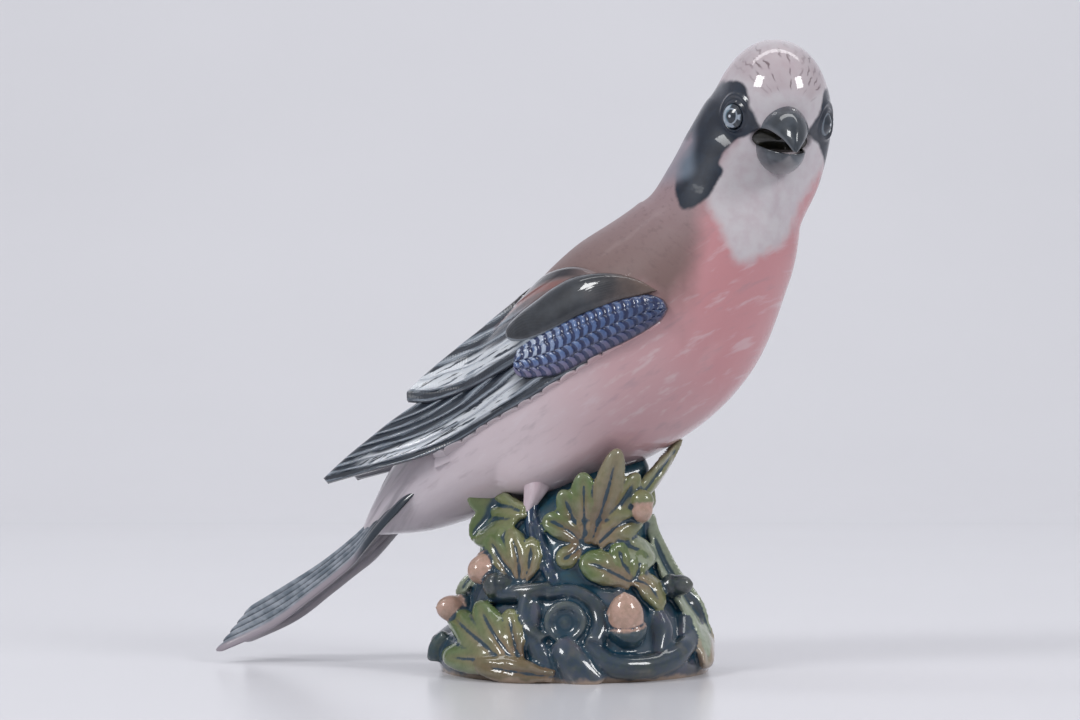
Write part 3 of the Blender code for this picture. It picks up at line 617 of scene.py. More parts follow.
def make_eye(name, side):
    """A dome whose height falls as cos of the share of its radius, with the radius kept as a field."""
    share = np.linspace(0.015, 1.0, 34)[:, None]
    turn = full_turn(72)
    dome = (EYE_RISE * np.cos(0.5 * math.pi * share) + 0 * turn, share * np.cos(turn), share * np.sin(turn))
    front = np.stack(dome, axis=-1) * (1.0, EYE_RADIUS, EYE_RADIUS)
    back = front[::-1] * (0.0, 1.0, 1.0) - (2.5, 0.0, 0.0)
    out, aside = math.cos(EYE_OUTWARD), math.sin(EYE_OUTWARD)
    axes = np.array(((out, side * aside, 0.0), (-aside, side * out, 0.0), (0.0, 0.0, 1.0)))
    rings = np.concatenate([front, back])
    centre = EYE_PLACE * (1, side, 1) + axes[0] * 1.4
    fields = {
        "eye_reach": np.concatenate([share, share[::-1]]) * EYE_RADIUS,
        "eye_up": rings[..., 2],
        "eye_ahead": rings[..., 1],
        "painted": 0.5 - 0.5 * side,
    }
    return closed_grid(name, head_to_world(centre + rings @ axes), fields)


def paint_eye(tree):
    """Navy pupil with a white dot, then a pale grey-blue ring whose outer edge is broken by brush strokes."""
    up, back, painted = kept(tree, "eye_up"), kept(tree, "eye_ahead"), kept(tree, "painted")
    cloud = blotches(tree, object_place(tree), 1.9)
    shaky = kept(tree, "eye_reach") + (cloud * 0.5 - 0.25)
    white = laid("AEB7C3", cloud.step(0.35, 0.65), "8A97A6")
    colour = laid("1A2532", shaky.step(1.55, 1.75) * back.step(0.2, 1.1), "5C7886")
    ring = abs(shaky - 2.42).step(0.28, 0.14) * cloud.step(0.30, 0.55, 0.35, 1.0)
    colour = laid(colour, ring * painted, white)
    corner = (abs(up) + back * 0.35).step(-0.05, -0.45)
    top_back = up.step(1.3, 1.8) * back.step(0.6, 1.2)
    patches = (back * 0.75 - up * 0.65).step(0.7, 1.3).then("MAXIMUM", corner.then("MAXIMUM", top_back))
    colour = laid(colour, shaky.step(2.6, 2.75) * shaky.step(3.75, 3.5) * patches * painted, white)
    colour = laid(colour, shaky.step(3.1, 3.4) * painted.step(0.9, 0.1, 0.0, 0.8), "6F7A86")
    dot = (up * up + back * back).then("SQRT")
    return glazed(tree, laid(colour, dot.step(0.58, 0.40), "C9CFD8"))


eye_look = material("eye_glaze", paint_eye)
for name, side in (("eye_right", -1), ("eye_left", 1)):
    show(make_eye(name, side), eye_look)


# Wings
# Pressed from their own moulds and stuck on with slip. The glaze runs thin over each feather's
# rim, which stays pale, and lies thick and dark in the hollow behind it.

LONG_UPPER = (
    (34.0, 120.0), (14.0, 122.0), (-4.0, 117.0), (-20.0, 108.0), (-36.0, 98.0),
    (-50.0, 89.0), (-59.0, 83.0), (-66.0, 77.6), (-75.0, 70.6), (-83.3, 63.4),
)
LONG_LOWER = (
    (36.5, 115.5), (27.0, 110.4), (17.0, 104.8), (3.0, 96.6), (-9.0, 89.6),
    (-20.0, 84.0), (-33.0, 76.6), (-46.0, 71.2), (-62.0, 66.8), (-81.5, 61.6),
)
SHORT_UPPER = (
    (24.0, 127.5), (8.0, 133.5), (-5.0, 132.3), (-15.0, 127.6), (-24.0, 120.4),
    (-32.0, 113.2), (-40.0, 106.4), (-47.5, 99.8), (-54.8, 92.6),
)
SHORT_LOWER = (
    (22.0, 119.0), (8.0, 114.0), (-4.0, 107.0), (-14.0, 101.0), (-23.0, 96.5),
    (-31.0, 93.0), (-38.0, 90.6), (-45.0, 88.8), (-53.6, 89.0),
)
PANEL_UPPER = (
    (-13.2, 102.5), (-12.0, 106.6), (-8.2, 109.6), (-2.0, 112.6), (4.2, 115.4), (16.8, 120.6),
    (26.0, 123.2), (32.4, 124.2), (37.0, 122.8), (38.8, 119.8),
)
PANEL_LOWER = (
    (-13.2, 102.3), (-12.4, 99.0), (-9.6, 97.4), (-3.0, 97.6), (4.2, 98.9), (16.8, 105.0),
    (26.0, 109.2), (32.4, 112.8), (37.0, 116.2), (38.8, 119.6),
)
OVAL_UPPER = (
    (-18.4, 111.9), (-17.0, 115.2), (-12.4, 119.4), (-6.8, 123.2), (-1.0, 127.0), (6.0, 130.2),
    (14.0, 131.4), (22.0, 131.0), (29.0, 129.0), (35.0, 125.6),
)
OVAL_LOWER = (
    (-18.4, 111.5), (-15.4, 109.4), (-9.7, 108.9), (-3.0, 110.8), (3.7, 113.8), (10.0, 116.9),
    (16.0, 119.0), (23.6, 122.0), (29.0, 123.4), (35.0, 125.4),
)
WING_CLEAR = (
    (-92.0, 13.5), (-80.0, 16.4), (-68.0, 18.6), (-56.0, 20.4), (-44.0, 21.6), (-32.0, 21.6),
    (-20.0, 19.0), (-8.0, 13.0), (4.0, 6.0), (16.0, 1.0), (45.0, 0.0),
)
WING_ARCH = 76.0
WING_THICKNESS = 3.0
LONG_PITCH = 4.1
SHORT_PITCH = 4.2
BAR_PITCH = 3.15
FEATHER_STEP = 0.95
FLANK_LOBES = 16
FLANK_REACH = (-43.0, 39.0)
FLANK_HEIGHT = 2.3


def body_side(x, z):
    """Distance of the body's skin from its middle plane at a place in the side view.

    The nearest section of the spine is an ellipse: width sqrt(1 - (gap / depth)^2).
    """
    stations = through(BODY_STATIONS, np.linspace(0.0, len(BODY_STATIONS) - 1.0, 520))
    gap = np.hypot(x[..., None] - stations[:, 0], z[..., None] - stations[:, 1])
    nearest = gap.argmin(axis=-1)
    share = np.minimum(gap.min(axis=-1) / stations[nearest, 2], 1.0)
    return stations[nearest, 3] * np.sqrt(1.0 - share**2)


def between(upper, lower, rows, columns):
    """A grid of side-view places between two smooth edges, with its shares along and across and its width."""
    shares = (np.linspace(0.0, 1.0, rows), np.linspace(0.0, 1.0, columns))
    along, across = np.meshgrid(*shares, indexing="ij")
    high = through(upper, along * (len(upper) - 1.0))
    low = through(lower, along * (len(lower) - 1.0))
    return along, across, high + (low - high) * across[..., None], np.linalg.norm(low - high, axis=-1)


def on_wing(place, lift):
    """The right wing's skin, a lift out from the further of the body and the folded wing's own face.

    That face lies at a clearance from the middle plane along the wing's lower edge and draws in
    above it by h^2 / arch, h the height over that edge; k ln(e^(a/k) + e^(b/k)) blends the two.
    """
    x, z = place[..., 0], place[..., 1]
    clear = np.array(WING_CLEAR)
    edge = np.array(LONG_LOWER)[::-1]
    over = np.maximum(z - np.interp(x, edge[:, 0], edge[:, 1]), 0.0)
    run = np.linspace(0.0, len(clear) - 1.0, 200)
    curve = through(clear, run)
    face = np.interp(x, curve[:, 0], curve[:, 1]) - over**2 / WING_ARCH
    side = 1.2 * np.logaddexp(body_side(x, z) / 1.2, face / 1.2)
    return np.stack([x, -(side + lift), z], axis=-1)


def wing_shell(name, side, place, lift, depth, fields):
    """A closed shell: the outer sheet of the wing and a plain inner sheet under it."""
    few = np.linspace(0, place.shape[1] - 1, 14).astype(int)[::-1]
    inner = on_wing(place[:, few], -np.broadcast_to(depth, lift.shape)[:, few])
    rings = np.concatenate([on_wing(place, lift), inner], axis=1) * (1, -side, 1)
    kept = {key: np.concatenate([values, values[:, few]], axis=1) for key, values in fields.items()}
    kept["under"] = np.repeat((0.0, 1.0), (place.shape[1], 14))
    return closed_grid(name, turned(rings, BIRD_HEADING), kept)


def make_feathers(name, side, upper, lower, pitch, raised, rows, columns):
    """Overlapping feathers parallel to the wing's lower edge.

    With d the distance up from that edge, each feather starts with a rim at a whole number of
    pitches, and its height is the step times min(f / 0.14, 1) (1 - f^1.6), f the share of a pitch.
    """
    along, across, place, width = between(upper, lower, rows, columns)
    x, z = place[..., 0], place[..., 1]
    away = width * (1.0 - across)
    sway = 0.35 * np.sin(x / 9.0) + 0.3 * np.sin(x / 4.0 + away)
    share = np.maximum(away + sway * smooth_step(away, 1.0, 3.0), 0.0) / pitch % 1.0
    slate = np.minimum(share / 0.14, 1.0) * (1.0 - share**1.6)
    from_tip = (1.0 - along) * np.linalg.norm(np.subtract(upper[0], upper[-1]))
    rim = np.minimum(np.minimum(across, 1.0 - across) * width / 0.9, 1.0)
    edge = np.sqrt(rim * np.minimum(from_tip / 1.2, 1.0) * smooth_step(along, 0.0, 0.06) + 1e-6)
    barbs = 0.05 * np.sin(2 * math.pi * (x * 0.9 + z * 0.2) / 0.9)
    lift = (0.9 + raised + (FEATHER_STEP + barbs) * slate * smooth_step(along, 0.15, 0.4)) * edge
    fields = {"share": share, "away": away, "top": across * width, "forward": x, "rise": z}
    return wing_shell(name, side, place, lift, WING_THICKNESS * np.maximum(edge, 0.25), fields)


def paint_feathers(tree):
    """Blue-black cores brushed along each feather, left pale on the rims and streaked with slate.

    Where the wing turns flat to the light, long nearly white streaks of painted highlight stand for the
    glaze's reflection.
    """
    forward, rise = kept(tree, "forward"), kept(tree, "rise")
    along, across = forward * 0.00009 + rise * 0.00005, rise * 0.0009 + forward * -0.00048
    streak, broad = combed(tree, along, across, 1.3, 3.0, 0.6), combed(tree, along, across, 3.0)
    share, top = kept(tree, "share") + (streak * 0.44 - 0.22), kept(tree, "top")
    colour = laid("434C57", broad.step(0.38, 0.62), "707A86")
    core = share.step(0.34, 0.46) * share.step(0.98, 0.86) * broad.step(0.34, 0.5, 0.55, 1.0)
    colour = laid(colour, core, "141E2C")
    colour = laid(colour, share.step(0.28, 0.12, 0.0, 0.85), "AAB3BD")
    away = broad * 5.0 + (kept(tree, "away") - 2.5)
    # Painted highlight: long nearly white streaks along the feathers, in a band up the wing.
    painted_highlight = away.step(3.6, 5.0) * away.step(12.0, 10.0) * streak.step(0.41, 0.48)
    painted_highlight = painted_highlight * forward.step(-74.0, -62.0) * forward.step(-8.0, -16.0)
    colour = laid(colour, painted_highlight * 0.9, "D6DBE1")
    colour = laid(colour, kept(tree, "away").step(1.5, 0.5), "3E444F")
    colour = laid(colour, forward.step(-20.0, -6.0) * rise.step(111.0, 117.0), "725F5E")
    colour = laid(colour, top.step(4.2, 2.6) * forward.step(-26.0, -18.0) * forward.step(14.0, 2.0), "231F25")
    rust = abs(top - 5.4).step(1.6, 0.7) * forward.step(-27.0, -20.0) * forward.step(8.0, -2.0)
    colour = laid(colour, rust * 0.8, "8A5A54")
    return glazed(tree, laid(colour, kept(tree, "under").step(0.3, 0.7), "5A5A62"))


def pad_dome(across, width, full):
    """Height of a pad at a share v across it: sqrt(1 - (2v - 1)^4), lower where the pad is narrow."""
    return np.sqrt(np.maximum(1.0 - (2.0 * across - 1.0) ** 4, 0.0)) * np.minimum(width / full, 1.0) ** 0.5


def make_panel(name, side):
    """The barred patch: a pad with bars across it, each bar broken into small arcs.

    Height is the pad's dome plus a ripple cos(2 pi u / pitch) whose phase bows within each of
    four columns and shifts by half a pitch from one column to the next.
    """
    along, across, place, width = between(PANEL_UPPER, PANEL_LOWER, 260, 84)
    run = place @ np.array((0.93, 0.37)) + 0.28 * (place[..., 1] - 0.4 * place[..., 0])
    column = across * 4.0
    inner = column - np.floor(column)
    bow = 0.9 * (2.0 * inner - 1.0) ** 2
    shift = 0.5 * BAR_PITCH * (np.floor(column) % 2) * smooth_step(across, 0.2, 0.5)
    bars = np.cos(2 * math.pi * (run + bow + shift) / BAR_PITCH)
    dome = pad_dome(across, width, 6.0)
    groove = np.exp(-((np.minimum(inner, 1.0 - inner) * width / 4.0 / 0.35) ** 2))
    groove *= smooth_step(across, 0.1, 0.2) * smooth_step(-across, -0.9, -0.8)
    fields = {"bars": bars, "groove": groove, "v": across, "u": along, "dome": dome}
    return wing_shell(name, side, place, 1.2 + dome * (2.6 + 0.30 * bars - 0.25 * groove), 1.0, fields)


def paint_panel(tree):
    """Cobalt bars over pale blue, gone violet at the lower rim where the pink shows through; pale blotches of
    painted highlight on the upper front bars.
    """
    cloud, fine = blotches(tree, object_place(tree), 3.0, 3.0), blotches(tree, object_place(tree), 0.8)
    u, v = kept(tree, "u"), kept(tree, "v")
    bars = kept(tree, "bars") + (fine * 1.5 - 0.75)
    colour = laid("456090", cloud.step(0.3, 0.7), "6880AC")
    colour = laid(colour, v.step(0.58, 0.92, 0.0, 0.75), "75667F")
    colour = laid(colour, bars.step(0.22, -0.25, 0.0, 0.95), laid("121D45", cloud.step(0.35, 0.65), "1C2C5C"))
    colour = laid(colour, kept(tree, "groove") * 0.5, "2A3558")
    colour = laid(colour, u.step(0.35, 0.85, 0.0, 0.72), "18254C")
    # Painted highlight: pale blotches on the bars of the pad's upper front part.
    painted_highlight = u.step(0.48, 0.30) * v.step(0.62, 0.44) * bars.step(-0.2, 0.3) * cloud.step(0.36, 0.5)
    colour = laid(colour, painted_highlight * 0.8, "B9C3D2")
    colour = laid(colour, kept(tree, "dome").step(0.62, 0.25), "2C3346")
    return glazed(tree, laid(colour, u.step(0.06, 0.0), "343A48"))


def make_oval(name, side):
    """The dark shoulder feathers: a smooth pad, full at its rear end and run out to the shoulder."""
    along, across, place, width = between(OVAL_UPPER, OVAL_LOWER, 150, 60)
    dome = pad_dome(across, width, 5.0) * (1.0 - 0.25 * along) * (1.0 - 0.7 * smooth_step(along, 0.6, 1.0))
    lift = 0.9 + dome * (2.9 + 3.0 * (1.0 - across) * smooth_step(along, 0.0, 0.2))
    rim = np.minimum(np.minimum(across, 1.0 - across) * width, along * 52.0)
    return wing_shell(name, side, place, lift, 1.0, {"rim": rim, "u": along})


def paint_oval(tree):
    """Warm black, browner towards the shoulder, with a grey line of thin glaze along its rim."""
    cloud, u = blotches(tree, object_place(tree), 6.0, 3.0), kept(tree, "u")
    colour = laid("22262D", cloud.step(0.3, 0.7), "33383F")
    colour = laid(colour, (u + (cloud * 0.3 - 0.15)).step(0.62, 1.0), "67564F")
    line = abs(kept(tree, "rim") - 0.8).step(0.6, 0.2) * u.step(0.55, 0.30, 0.0, 0.8)
    return glazed(tree, laid(colour, line, "77808A"))


def make_flank(name, side):
    """The row of small flank feathers that laps over the wing's lower edge.

    With t the share up the strip and a = sqrt(1 - (2 f - 1)^2) over each lobe's share f, the
    strip's top stands 0.3 + 1.7 a over the edge, and its height is the full one times
    (0.45 + 0.55 a) times a smooth step of t, rounded off over the last millimetre.
    """
    along, down = np.meshgrid(np.linspace(0.0, 1.0, 400), np.linspace(0.0, 1.0, 26), indexing="ij")
    share = 1.0 - down
    x = FLANK_REACH[0] + (FLANK_REACH[1] - FLANK_REACH[0]) * along
    phase = along * FLANK_LOBES + 0.16 * np.sin(9.0 * along * math.pi)
    arch = np.sqrt(np.clip(1.0 - (2.0 * (phase - np.floor(phase)) - 1.0) ** 2, 0.0, 1.0))
    lobe = arch * (0.72 + 0.28 * np.sin(2.4 * np.floor(phase)))
    run = through(np.array(LONG_LOWER)[::-1], np.linspace(0.0, len(LONG_LOWER) - 1.0, 200))
    edge = np.interp(x, run[:, 0], run[:, 1])
    top = edge + 0.3 + 1.7 * lobe
    z = edge - 5.0 + (top - edge + 5.0) * share
    height = FLANK_HEIGHT * (0.45 + 0.55 * lobe) * smooth_step(share, 0.05, 0.75)
    height *= np.sqrt(np.clip((top - z) / 1.1, 0.0, 1.0))
    height *= smooth_step(along, 0.0, 0.05) * smooth_step(-along, -1.0, -0.95)
    lift = height - 0.7 - 6.0 * np.maximum(0.72 - share, 0.0)
    place = np.stack([x - 1.1 * arch * share, z], axis=-1)
    # The tip field carries the painted highlight over each lobe's tip.
    fields = {"forward": x, "tip": arch * smooth_step(share, 0.55, 0.95)}
    return wing_shell(name, side, place, lift, 1.8, fields)


def paint_flank(tree):
    """The belly's white and pink, with a near-white painted highlight over each tip."""
    forward = blotches(tree, object_place(tree), 6.0) * 10.0 + (kept(tree, "forward") - 5.0)
    colour = laid("C4BCC3", forward.step(-60.0, -8.0), "CDBDC2")
    colour = laid(colour, forward.step(-14.0, 34.0), "C0989C")
    # Painted highlight over each lobe's tip.
    return glazed(tree, laid(colour, kept(tree, "tip").step(0.25, 0.7, 0.0, 0.95), "E2DFE3"))


flank_look = material("flank_glaze", paint_flank)
feather_look = material("feather_glaze", paint_feathers)
panel_look = material("barred_panel_glaze", paint_panel)
oval_look = material("shoulder_feather_glaze", paint_oval)
rows_of_feathers = (
    ("long", LONG_UPPER, LONG_LOWER, LONG_PITCH, 0.0, 400),
    ("short", SHORT_UPPER, SHORT_LOWER, SHORT_PITCH, 1.3, 300),
)
for name, side, fine in (("right", -1, 1.0), ("left", 1, 0.62)):
    for kind, upper, lower, pitch, raised, rows in rows_of_feathers:
        counts = (int(rows * fine), int(110 * fine))
        feathers = make_feathers(f"{kind}_feathers_{name}", side, upper, lower, pitch, raised, *counts)
        show(feathers, feather_look)
    show(make_panel(f"barred_panel_{name}", side), panel_look)
    show(make_oval(f"shoulder_feathers_{name}", side), oval_look)
    show(make_flank(f"flank_feathers_{name}", side), flank_look)


# Tail
# Long feathers pressed as one flat piece, folded like a roof over the middle and stuck to the
# rump. Slate blue above, thinly washed below.

TAIL_UPPER = ((-50.0, 64.5), (-66.0, 54.5), (-77.0, 43.8), (-90.0, 33.6), (-104.0, 24.8), (-120.0, 15.4))
TAIL_LOWER = ((-50.0, 52.0), (-66.0, 41.0), (-77.0, 32.6), (-90.0, 22.6), (-104.0, 12.6), (-124.0, 3.4))
TAIL_HALF_WIDTH = 11.0
TAIL_THICKNESS = 4.2
TAIL_FEATHERS = 5


def make_tail_feather(name, index, side):
    """One tail feather: along the tail's curve, a section that is an egg with a keel at its upper rim.

    Each feather starts lower and further out than the one over it by equal shares, and the outer
    ones start further up on the rump. Its end is round: the section shrinks as the square root
    of the distance to the tip.
    """
    share = index / (TAIL_FEATHERS - 1)
    rows = np.linspace(0.0, 1.0, 130)
    upper, lower = through(TAIL_UPPER, rows * 5.0), through(TAIL_LOWER, rows * 5.0)
    climb = np.stack([0 * rows, 7.0 * share * (1.0 - smooth_step(rows, 0.0, 0.4))], axis=-1)
    low = upper + (lower - upper) * (share * 0.74) + climb
    high = upper + (lower - upper) * (share * 0.74 + 0.32) + climb
    reach = 0.955 + 0.045 * share if side < 0 else 0.93 + 0.05 * share
    spread = TAIL_HALF_WIDTH * share * np.interp(rows, (0.0, 0.2, 0.5, 1.0), (1.28, 1.0, 0.8, 1.0))
    half = 0.5 * TAIL_THICKNESS * (1.0 - 0.35 * rows)
    top = np.stack([low[:, 0], side * spread * 0.85, low[:, 1]], axis=-1)
    bottom = np.stack([high[:, 0], side * (spread + half), high[:, 1]], axis=-1)
    middle, arm = 0.5 * (top + bottom), 0.5 * (bottom - top)
    outward = np.stack([0 * half, side * half, 0.35 * half], axis=-1)
    turn = full_turn(28)[:, None]
    closing = np.sqrt(np.clip((1.0 - rows) / 0.035, 0.0, 1.0)) * smooth_step(rows, -0.03, 0.10) * 0.98 + 0.02
    ring = (np.cos(turn) * arm[:, None] + np.sin(turn) * outward[:, None]) * (1.0 + 0.10 * np.cos(3 * turn))
    last = middle[0] + (middle - middle[0]) * reach
    path = last[:, None] + ring * closing[:, None, None]
    fields = {"around": np.cos(turn.T), "outside": np.sin(turn.T), "along": rows[:, None], "order": share}
    return closed_grid(name, turned(path, BIRD_HEADING), fields)


def paint_tail(tree):
    """Slate with a dark core and a pale line along each upper rim, faint paint on the upper feathers and a
    near-white painted highlight on the lower ones; the lowest feathers are grey-pink.
    """
    place = object_place(tree, (0.14, 1.0, 1.0), (0.0, -0.70, 0.26))
    along, order = kept(tree, "along"), kept(tree, "order")
    around = kept(tree, "around") + (blotches(tree, place, 1.2, 3.0, 0.6) * 0.7 - 0.35)
    colour = laid("5E6975", blotches(tree, place, 4.0).step(0.3, 0.7), "8D949E")
    colour = laid(colour, around.step(-0.1, 0.6, 0.0, 0.85), "2E3743")
    colour = laid(colour, along.step(0.35, 0.0, 0.0, 0.85), "28343F")
    # Pale line on the upper rims: faint paint on the upper feathers, a near-white painted highlight on the
    # lower ones.
    colour = laid(colour, around.step(-0.60, -0.95) * order.step(0.6, 0.72, 0.35, 1.0), "C9CCD1")
    below = order.step(0.86, 0.98) * kept(tree, "around").step(-0.45, 0.2) * along.step(0.22, 0.42)
    colour = laid(colour, below, "938B93")
    colour = laid(colour, along.step(0.36, 0.20) * around.step(-0.9, -0.55), "1F2B37")
    return glazed(tree, laid(colour, kept(tree, "outside").step(-0.2, -0.7) * 0.7, "8A8289"))


tail_look = material("tail_glaze", paint_tail)
for index in range(TAIL_FEATHERS):
    for name, side in (("right", -1), ("left", 1)):
        show(make_tail_feather(f"tail_feather_{name}_{index + 1}", index, side), tail_look)


# Legs
# Feathered tufts and short shanks, pulled out of the clay by hand and grown into the leaves.

TUFT_PATH = ((-6.0, 11.0, 71.5), (-8.0, 15.6, 64.5), (-9.4, 18.8, 59.0), (-10.8, 21.2, 53.2))
TUFT_RADII = (9.5, 5.4, 3.3, 1.4)
SHANK_PATH = ((-10.2, 18.5, 57.0), (-8.0, 23.0, 45.0), (-2.0, 28.0, 30.0))
SHANK_RADII = (2.4, 2.6, 3.0)


def branch(stations, radii, rows, columns, swell=0.0, waves=(1.7, 1.0)):
    """Rings round a smooth path; with them, the place of each ring and the angles round it.

    A side vector is carried along the path without twist; each ring is the path's point plus
    r (cos a side + sin a other), its radius swollen by sin(w z + k a) along and round it.
    """
    places = np.linspace(0.0, len(stations) - 1.0, rows)[:, None]
    path = through(stations, places[:, 0])
    heading = along_path(path)
    side = np.cross(heading[0], (0.0, 0.0, 1.0) if abs(heading[0][2]) < 0.9 else (1.0, 0.0, 0.0))
    sides = []
    for direction in heading:
        side = unit(side - direction * np.dot(side, direction))
        sides.append(side)
    sides = np.array(sides)[:, None]
    turn = full_turn(columns)
    size = through(np.array(radii)[:, None], places[:, 0])
    size = size * (1.0 + swell * np.sin(waves[0] * places + waves[1] * turn))
    around = np.cos(turn)[:, None] * sides + np.sin(turn)[:, None] * np.cross(heading[:, None], sides)
    return path[:, None] + size[..., None] * around, places, turn


def leg_wash(tree, under, over):
    """Two colours brushed into each other down the leg."""
    cloud = blotches(tree, object_place(tree, (1.0, 1.0, 0.4)), 3.0, 3.0)
    return glazed(tree, laid(under, cloud.step(0.3, 0.7), over))


def paint_tuft(tree):
    """White with a breath of pink, brushed in blotches of a greyer pink."""
    return leg_wash(tree, "C9BBC2", "BBA7AF")


def paint_shank(tree):
    """Deep blue-green brushed down the leg."""
    return leg_wash(tree, "14304F", "1B4560")


tuft_look = material("tuft_glaze", paint_tuft)
shank_look = material("shank_glaze", paint_shank)
for name, side in (("right", -1), ("left", 1)):
    tuft = turned(np.multiply(TUFT_PATH, (1, side, 1)), BIRD_HEADING)
    show(closed_grid(f"leg_tuft_{name}", branch(tuft, TUFT_RADII, 60, 48, 0.03, (0.4, 5.0))[0]), tuft_look)
    shank = turned(np.multiply(SHANK_PATH, (1, side, 1)), BIRD_HEADING)
    show(closed_grid(f"leg_shank_{name}", branch(shank, SHANK_RADII, 50, 32)[0]), shank_look)


# Oak stump with its leaves, acorns and twigs
# One mould-cast foot with hand-set leaves. The clay edges go soft under the glaze, which runs
# off every ridge and pools blue-green in the hollows, so the forms are fused and smoothed.

FOOT_RADIUS = 44.0
STUMP_TOP = 72.0
STUMP_STATIONS = (
    (0.0, 1.02, 0.0), (5.0, 1.04, 0.0), (12.0, 0.97, 0.0), (24.0, 0.80, -1.0), (34.0, 0.68, -2.5),
    (44.0, 0.60, -3.0), (52.0, 0.53, 0.0), (60.0, 0.43, 5.0), (67.0, 0.33, 10.0), (72.0, 0.18, 14.0),
)
LEAF_BED = (24.0, 2.0)
LEAF_THICKNESS = 2.6
ACORN_RADIUS = 5.2
ACORN_LENGTH = 17.0
TWIG_RADIUS = 3.2
KNOB_RADIUS = 7.0
KNOB_REACH = 5.8
FUSE_STEP = 0.64

GREEN = "5C7040"
OLIVE = "777B50"
TAN = "87745C"
BROWN = "6E5A45"
PALE = "9CA690"
STRIP_BLUE = "14304F"
ROOT_GREY = "273A4E"
ROOT_VIOLET = "4A4E60"
GLAZE_TEAL = "114256"
DEEP_TEAL = "0B3346"
NUT_PINK = "BC998A"
CUP_TEAL = "17384A"
FOOT_TAN = "A48D79"


def stump_section(z):
    """Radius and sideways middle of the stump's core at a height."""
    height, radius, middle = through(STUMP_STATIONS, np.linspace(0.0, len(STUMP_STATIONS) - 1.0, 90)).T
    return FOOT_RADIUS * np.interp(z, height, radius), np.interp(z, height, middle)


def on_stump(angle, z, lift=0.0, bed=False):
    """A place on the stump, or on the bed of the upper leaves: degrees from the front, height, lift."""
    turn = np.radians(angle)
    radius, middle = stump_section(z)
    if bed:
        inside = radius < LEAF_BED[0]
        radius = np.where(inside, LEAF_BED[0], radius)
        middle = np.where(inside, np.minimum(middle, LEAF_BED[1]), middle)
    reach = radius + lift
    return np.stack([middle + reach * np.sin(turn), -reach * np.cos(turn), z + 0.0 * turn], axis=-1)


def tones(share, under, over):
    """A grid of colours, from one to the other by a share at each point; a text is sRGB hex."""
    under, over = (np.array(linear(c))[:3] if isinstance(c, str) else c for c in (under, over))
    share = np.clip(share, 0.0, 1.0)[..., None]
    return under * (1.0 - share) + over * share


def core_form():
    """The stump's core: rings with shallow ribs 0.9 sin(5 a + 2 z), down to just under the table."""
    heights = np.concatenate([[-4.0, -2.0], np.linspace(0.0, STUMP_TOP, 90)])
    z, angle = np.meshgrid(heights, np.linspace(0.0, 360.0, 200, endpoint=False), indexing="ij")
    rib = 0.9 * np.sin(np.radians(angle * 5 + z * 2.0)) * np.sin(0.5 * math.pi * np.clip(z / 20.0, 0.0, 1.0))
    knots = 0.7 * np.sin(np.radians(angle * 3 - z * 7.0)) * np.sin(z / 5.0)
    rings = on_stump(angle, z, rib + knots - 0.9 * np.sin(0.5 * np.radians(angle)) ** 2)
    violet = (0.5 + 0.5 * np.sin(np.radians(angle * 2.0 + z * 3.0))) * smooth_step(-z, -32.0, -24.0)
    return rings, tones(smooth_step(z, 26.0, 34.0), tones(violet, ROOT_GREY, ROOT_VIOLET), GLAZE_TEAL)


def leaf_half(share, lobes):
    """Half width of an oak leaf as a share of its greatest: round lobes with a notch between each two."""
    body = 0.42 + 0.58 * smooth_step(share, 0.0, 0.55)
    tip = np.sqrt(np.clip(1.0 - (np.clip(share - 0.76, 0.0, 1.0) / 0.24) ** 2, 0.0, 1.0))
    lobed = (share > 0.5 / lobes) * (share < 1.0 - 0.5 / lobes)
    notch = 1.0 - 0.42 * np.abs(np.cos(math.pi * lobes * share)) ** 5 * lobed
    return np.maximum(body * tip * notch, 0.07)


def two_sided(outer, inner, wash):
    """A blade closed by its plain under side, nowhere far below the table, with its colours on both."""
    rings = np.concatenate([outer, inner[:, ::-1]], axis=1)
    rings[..., 2] = np.maximum(rings[..., 2], -2.0)
    return rings, np.concatenate([wash, wash[:, ::-1]], axis=1)


def leaf_form(root, tip, width, lifts, bow, lobes, brown):
    """An oak leaf laid on the stump.

    Its midrib runs from root to tip (each an angle and a height) and bows sideways as a half
    sine; across it the blade falls as |w|^1.2, swells between the ribs and dips along them.
    """
    share = np.linspace(0.0, 1.0, 120)
    columns = np.linspace(-1.0, 1.0, 41)
    angle = root[0] + (tip[0] - root[0]) * share + bow * np.sin(math.pi * share)
    height = root[1] + (tip[1] - root[1]) * share
    lift = np.interp(share, (0.0, 0.5, 1.0), lifts)
    midrib = on_stump(angle, height, lift, bed=True)
    outward = unit(on_stump(angle, height, lift + 1.0, bed=True) - midrib)
    along = along_path(midrib)
    side = unit(np.cross(along, outward))
    up = np.cross(side, along)[:, None]
    half = leaf_half(share, lobes)[:, None]
    across = width * half * columns
    share = share[:, None]
    ribs = np.abs(np.sin(math.pi * lobes * (share - 0.10 * np.abs(columns)) + 0.25 * math.pi))
    puff = np.sin(math.pi * np.abs(columns)) * half * (0.35 + 0.65 * ribs)
    sag = -0.26 * np.abs(across) ** 1.2
    groove = 0.75 * np.exp(-((across / 0.55) ** 2)) * smooth_step(share, 1.0, 0.75)
    blade = midrib[:, None] + side[:, None] * across[..., None]
    outer = blade + up * (sag + puff - groove)[..., None]
    inner = blade + up * (sag - LEAF_THICKNESS - 1.2)[..., None]
    middle = np.exp(-((across / (0.45 * width)) ** 2)) * smooth_step(share, 0.95, 0.2)
    tan = np.clip(brown + 0.9 * middle * (0.35 + brown), 0.0, 1.0)
    green = tones(0.5 + 0.5 * np.sin(7.0 * share + 3.0 * columns), GREEN, OLIVE)
    return two_sided(outer, inner, tones(tan, green, TAN))


